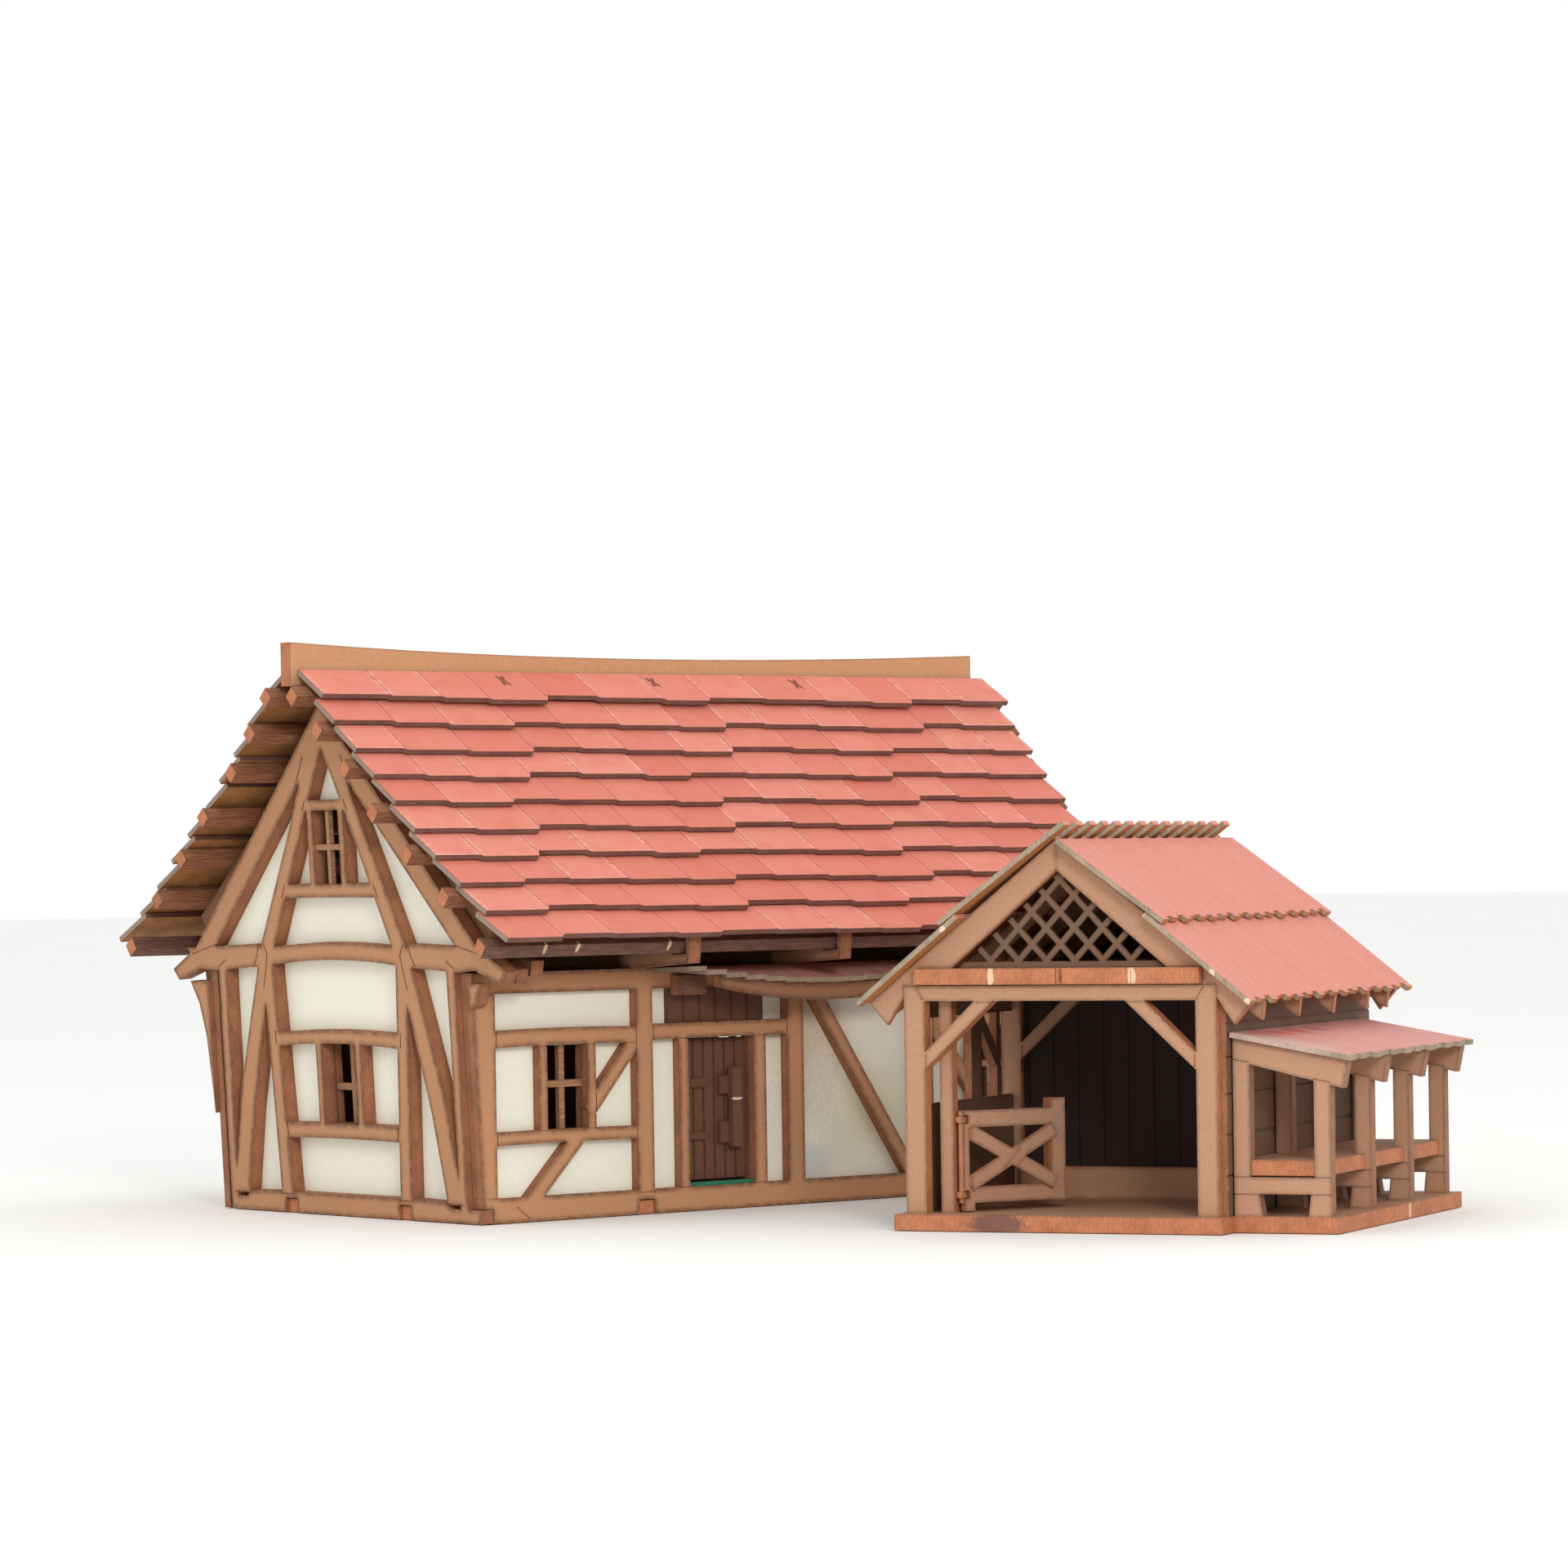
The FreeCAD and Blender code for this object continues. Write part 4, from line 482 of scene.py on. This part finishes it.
# the house's door, canopy and eave
assign(sheet_paint("door_planks", PLANK_DARK, shade(CUT, 0.7), Y, rim=0.001, burn=0.6, marks=glue_pull),
       "door_leaf", "door_strap_hinges", "door_pull", "door_pull_blocks", "over_door_panel")
assign(plain_sheet_paint("green_strip", GREEN, 0.6, 0.3), "door_threshold")
assign(sheet_paint("timber_fascia", shade(TIMBER, 0.8), CUT, Y), "canopy_fascia")
canopy_edge = shade(BOARD_EDGE, 0.95)
assign(boards_paint("canopy_boards", CANOPY_PINK, CANOPY_PITCH, 0.03, X, canopy_edge, DARK_TIMBER),
       "canopy_roof")
assign(bar_paint("beam_end_block", shade(DARK_TIMBER, 0.95), shade(CUT, 0.9), X), "canopy_beam_ends")
assign(sheet_paint("timber_struts", shade(TIMBER, 0.8), CUT, X), "eave_struts")
assign(bar_paint("eave_purlin_bar", PURLIN_SIDE, CUT_BRIGHT, X, glue_eave), "eave_purlins")

# the house's roof, apart from its shingles
assign(sheet_paint("ridge_board", RIDGE, CUT_BRIGHT, Y, rim=0.001, burn=0.45), "ridge_board")
assign(bar_paint("purlin_bar", shade(CUT, 0.86), CUT_BRIGHT, X), "front_purlins", "rear_purlins")

# the stable
assign(sheet_paint("timber_stable_frames", TIMBER_STABLE, CUT_BRIGHT, DEEP, **FRAME_RIM),
       "shed_front_frame", "shed_inner_frame", "shed_rear_frame", "gable_boards", "shed_rafters",
       "shed_plinth", "gate_post")
assign(sheet_paint("timber_lean_to", TIMBER_STABLE, LEAN_CUT, DEEP, **FRAME_RIM), "lean_to_frames")
# the stable's side walls take the stable timber at 0.62 of its brightness: painted shade, as they face away
# from the light
assign(sheet_paint("timber_stable_sides_painted_shade", shade(TIMBER_STABLE, 0.62), CUT, ALONG, **FRAME_RIM),
       "shed_left_wall", "shed_right_wall")
assign(sheet_paint("timber_level", shade(TIMBER_STABLE, 0.96), CUT_BRIGHT, Z, rim=0.0008, marks=base_marks),
       "shed_base", "lean_to_base", "loft_floor", "manger_shelf")
assign(sheet_paint("lattice", shade(TIMBER_STABLE, 0.64), shade(CUT, 0.62), DEEP, rim=0.0009, burn=0.6),
       "gable_lattice")
assign(sheet_paint("core_sheet_stable", shade(TIMBER, 0.66), CUT, DEEP, burn=0.5),
       "shed_rear_walls", "rear_gable_panel")
assign(sheet_paint("partition_planks", DEEP_SHADE, DEEP_SHADE, DEEP, burn=0.6), "shed_partition")
assign(boards_paint("stable_roof_boards", SALMON_STABLE, STABLE_PITCH, 0.10, marks=glue_verge),
       "shed_roof_upper_right", "shed_roof_lower_right", "shed_roof_upper_left", "shed_roof_lower_left")
assign(boards_paint("lean_to_boards", LEAN_PINK, LEAN_PITCH, 0.08, marks=smears), "lean_to_roof")

# the stall gate
assign(sheet_paint("timber_gate", shade(TIMBER_STABLE, 0.95), CUT_BRIGHT, GATE_FACE, rim=0.0016, burn=0.6),
       "gate_frame", "gate_braces")
assign(bar_paint("cut_block", shade(CUT, 0.95), CUT_BRIGHT, X), "gate_stile_block", "gate_hooks")


# ------------------------------------------------------------------ the house's shingles
# Sizes in mm. Down to WIDTHS they are the part's own, so each tile lies on its strip.
EAVE_RUN = 84.9             # from the ridge's middle out to the roof line's end, level
RIDGE_Z = 146.6             # roof line at the ridge
EAVE_Z = 72.6               # roof line at the eave
ROOF_SAG = 3.5              # dip of the slope at its middle, below the straight line
ROOF_LEFT = -115.7          # the left verge at the eave
ROOF_LEFT_LEAN = 4.3        # its extra length at the ridge
ROOF_RIGHT = 113.5          # the right verge at the eave
ROOF_RIGHT_LEAN = 11.0      # its extra length at the ridge
ROWS = 10
ROW_RISE = 7.0              # upright distance from one strip's lower edge to the next
TILE = 1.4                  # thickness of a strip
TILE_LAP = 2.8              # overlap of one strip on the next
TILE_LIFT = 2.3             # how far a strip's lower edge stands off the roof line
FIRST_LIFT = 3.0            # the same for the strip beside the ridge board
FIRST_DROP = 1.6            # how far below the roof line's peak that strip starts
FIRST_LAP = 3.6             # and its overlap on the second strip
RIDGE_BOARD = 4.2           # thickness of the ridge board
RIDGE_CLEARANCE = 0.25      # between it and the first strip
TILES = 13                  # on each strip
FLARE = 0.7                 # half of the slanted break between two tiles
VERGE_WAVE = (-1.0, 1.3, -0.1, 0.2, -0.8, 0.5, 0.9, -0.5)
LEFT_WAVE = 0.5             # the share of this wave that each verge takes
RIGHT_WAVE = 0.7
# each run of tiles hangs lower and lower, then the next run starts higher up
STEPS = (2.3, 1.6, 0.8, 0.0, 2.6, 1.6, 0.5, 2.1, 1.5, 0.8, 0.0)
EAVE_STEP = 0.6             # the share of its step that a tile at the eave takes
WIDTHS = (1.15, 0.9, 0.8, 1.05, 0.95, 1.2, 0.85, 1.1)

SEAM_RING = 2.2             # the inner ring of a tile's top: in from its seams,
TOP_RING = 0.2              # from its upper edge
LOW_RING = 1.2              # and from its lower edge
SAME_POINT = 0.01           # two corners nearer than this are one
CROSSES_X = (-54.7, -3.0, 48.5)     # the dark crosses' middles
CROSS_Y = -7.2
CROSS_Z = 142.3


def row_share(row):
    """Where on the slope a strip starts, as in the part's source."""
    if row == 0:
        return 0.0
    fall = RIDGE_Z - EAVE_Z - ROW_RISE * (ROWS - row)
    rate = RIDGE_Z - EAVE_Z + 4 * ROOF_SAG
    return (rate - math.sqrt(rate ** 2 - 16 * ROOF_SAG * fall)) / (8 * ROOF_SAG)


def roof_point(u):
    """Distance out from the ridge and height of the sagging slope at share u of its run."""
    return EAVE_RUN * u, RIDGE_Z - (RIDGE_Z - EAVE_Z) * u - 4 * ROOF_SAG * u * (1 - u)


def tile_outline(tiles, i, start):
    """Corners of tile i, as (along the ridge, down the slope). The break between two tiles is
    slanted, and a seam ends halfway between its two tiles' lengths."""
    x0, x1, reach = tiles[i]
    last = len(tiles) - 1
    before = (tiles[i - 1][2] + reach) / 2 if i else reach
    after = (tiles[i + 1][2] + reach) / 2 if i < last else reach
    left_in = FLARE if i else 0.0
    right_in = FLARE if i < last else 0.0
    corners = [(x0, start), (x1, start), (x1, after)]
    corners += [(x1 - right_in, reach), (x0 + left_in, reach), (x0, before)]
    outline = []
    for point in corners:
        if not outline or math.dist(point, outline[-1]) > SAME_POINT:
            outline.append(point)
    return outline


def strip_layout(row):
    """A strip's start point, tilt, upper edge and tiles, each tile as (left, right, length)."""
    u1 = row_share(row + 1)
    a = roof_point(row_share(row))
    b = roof_point(u1)
    if row == 0:
        a = (a[0], a[1] - FIRST_DROP)
    run = math.hypot(b[0] - a[0], b[1] - a[1])
    length = run + (TILE_LAP if row else FIRST_LAP)
    lift = TILE_LIFT if row else FIRST_LIFT
    tilt = math.atan2(a[1] - b[1], b[0] - a[0]) - math.asin(lift / length)
    start = 0.0 if row else (RIDGE_BOARD / 2 + RIDGE_CLEARANCE) / math.cos(tilt)
    wave = VERGE_WAVE[row % len(VERGE_WAVE)]
    left = ROOF_LEFT - ROOF_LEFT_LEAN * (1 - u1) - LEFT_WAVE * wave
    right = ROOF_RIGHT + ROOF_RIGHT_LEAN * (1 - u1) ** 2 - RIGHT_WAVE * wave
    shares = [WIDTHS[(row * 3 + i) % len(WIDTHS)] for i in range(TILES)]
    tiles = []
    x = left
    for i in range(TILES):
        step = STEPS[(row * 4 + i) % len(STEPS)]
        if row == ROWS - 1:
            step *= EAVE_STEP
        end = x + (right - left) * shares[i] / sum(shares)
        tiles.append((x, end, length - step))
        x = end
    return a, tilt, start, tiles


TOP_KIND, RIM_KIND, UNDER_KIND = range(3)       # the tile materials' places on the mesh


def build_shingles(name, node, side, body):
    """All strips of one slope in one mesh; side is -1 for the door's side and 1 for the rear."""
    verts = []
    faces = []
    kinds = []
    tones = []
    across = []
    down = []
    pick = random.Random(7 + side)
    for row in range(ROWS):
        (out, up), tilt, start, tiles = strip_layout(row)
        for i, (x0, x1, reach) in enumerate(tiles):
            outline = tile_outline(tiles, i, start)
            tone = pick.random()
            # an inner ring lets the seam and the lower edge have their own width
            ring = []
            for x, d in outline:
                inner_x = min(max(x, x0 + SEAM_RING), x1 - SEAM_RING)
                inner_d = min(max(d, start + TOP_RING), reach - LOW_RING)
                ring.append((inner_x, inner_d))
            layers = []
            for height, points in ((TILE, outline), (TILE, ring), (0.0, outline)):
                first = len(verts)
                for x, d in points:
                    level_out = out + math.cos(tilt) * d + math.sin(tilt) * height
                    level_up = up - math.sin(tilt) * d + math.cos(tilt) * height
                    verts.append((x * MM, side * level_out * MM, level_up * MM))
                    across.append(min(x - x0, x1 - x) * MM)
                    down.append(max(0.0, reach - d) * MM)
                layers.append(list(range(first, first + len(points))))
            top, inner, under = layers
            count = len(outline)
            made = [(inner, TOP_KIND), (under[::-1], UNDER_KIND)]
            for k in range(count):
                n = (k + 1) % count
                made.append(([top[k], top[n], inner[n], inner[k]], TOP_KIND))
                made.append(([under[k], under[n], top[n], top[k]], RIM_KIND))
            for loop, kind in made:
                faces.append(loop if side > 0 else loop[::-1])
                kinds.append(kind)
                tones.append(tone)
    mesh = bpy.data.meshes.new(name)
    mesh.from_pydata(verts, [], faces)
    mesh.attributes.new("across", "FLOAT", "POINT").data.foreach_set("value", across)
    mesh.attributes.new("down", "FLOAT", "POINT").data.foreach_set("value", down)
    mesh.attributes.new("tone", "FLOAT", "FACE").data.foreach_set("value", tones)
    mesh.polygons.foreach_set("material_index", kinds)
    for material in (tile_top, tile_rim, tile_under):
        mesh.materials.append(material)
    mesh.validate(clean_customdata=False)
    mesh.update()
    obj = bpy.data.objects.new(name, mesh)
    bpy.context.scene.collection.objects.link(obj)
    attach(obj, body)
    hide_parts(node)


tile_top = tile_top_paint()
tile_rim = plain_sheet_paint("shingle_edge", TILE_EDGE, 0.75, verge=VERGE_EDGE)
tile_under = plain_sheet_paint("shingle_underside", UNDERSIDE, 0.78, 0.6)
build_shingles("front_shingle_tiles", "front_shingles", -1, "house_roof")
build_shingles("rear_shingle_tiles", "rear_shingles", 1, "house_roof")


# ------------------------------------------------------------------ floor, light and camera
def build_floor():
    """A wide pale floor a hair below the part."""
    mesh = bpy.data.meshes.new("floor")
    reach = 8.0
    level = -0.0002
    signs = ((-1, -1), (1, -1), (1, 1), (-1, 1))
    corners = [(reach * x, reach * y, level) for x, y in signs]
    mesh.from_pydata(corners, [], [(0, 1, 2, 3)])
    floor = bpy.data.objects.new("floor", mesh)
    bpy.context.scene.collection.objects.link(floor)
    paint = Paint("pale_floor", 0.9)
    tone = paint.mix(paint.noise(6.0, 2.0), linear(FLOOR), linear(shade(FLOOR, 0.99)))
    mesh.materials.append(paint.finish(tone))


def area_light(name, place, aim, size, power, colour=(1.0, 1.0, 1.0)):
    """A round soft lamp at place that shines towards aim."""
    data = bpy.data.lights.new(name, "AREA")
    data.shape = "DISK"
    data.size = size
    data.energy = power
    data.color = colour
    light = bpy.data.objects.new(name, data)
    light.location = place
    light.rotation_euler = (Vector(aim) - Vector(place)).to_track_quat("-Z", "Y").to_euler()
    bpy.context.scene.collection.objects.link(light)


def build_light():
    """A white surround and two soft lamps from the left front."""
    world = bpy.data.worlds.new("studio")
    world.use_nodes = True
    background = world.node_tree.nodes["Background"]
    background.inputs["Color"].default_value = (1.0, 1.0, 1.0, 1.0)
    background.inputs["Strength"].default_value = 1.0
    bpy.context.scene.world = world
    centre = (0.0, -0.07, 0.06)
    area_light("key", (-0.75, -1.45, 0.55), centre, 0.35, 8.0, (1.0, 0.985, 0.96))
    area_light("top", (-0.3, -0.6, 1.5), centre, 1.2, 2.0)


def build_camera():
    """The photograph's angle: nearly level, from the left front, rolled by under a degree."""
    place = Vector((-0.94963, -1.19248, 0.09253))
    forward = Vector((0.64244, 0.76621, -0.01430)).normalized()
    right = forward.cross(Z).normalized()
    up = right.cross(forward)
    roll = math.radians(0.884)
    side = right * math.cos(roll) - up * math.sin(roll)
    top = up * math.cos(roll) + right * math.sin(roll)
    data = bpy.data.cameras.new("camera")
    data.lens = 126.06
    data.sensor_width = 36.0
    data.shift_x = -0.0026
    data.shift_y = 0.099
    data.clip_start = 0.01
    data.clip_end = 50.0
    camera = bpy.data.objects.new("camera", data)
    turn = Matrix((side, top, -forward)).transposed().to_4x4()
    camera.matrix_world = Matrix.Translation(place) @ turn
    bpy.context.scene.collection.objects.link(camera)
    bpy.context.scene.camera = camera


build_floor()
build_light()
build_camera()
bpy.context.scene.view_settings.view_transform = "Standard"
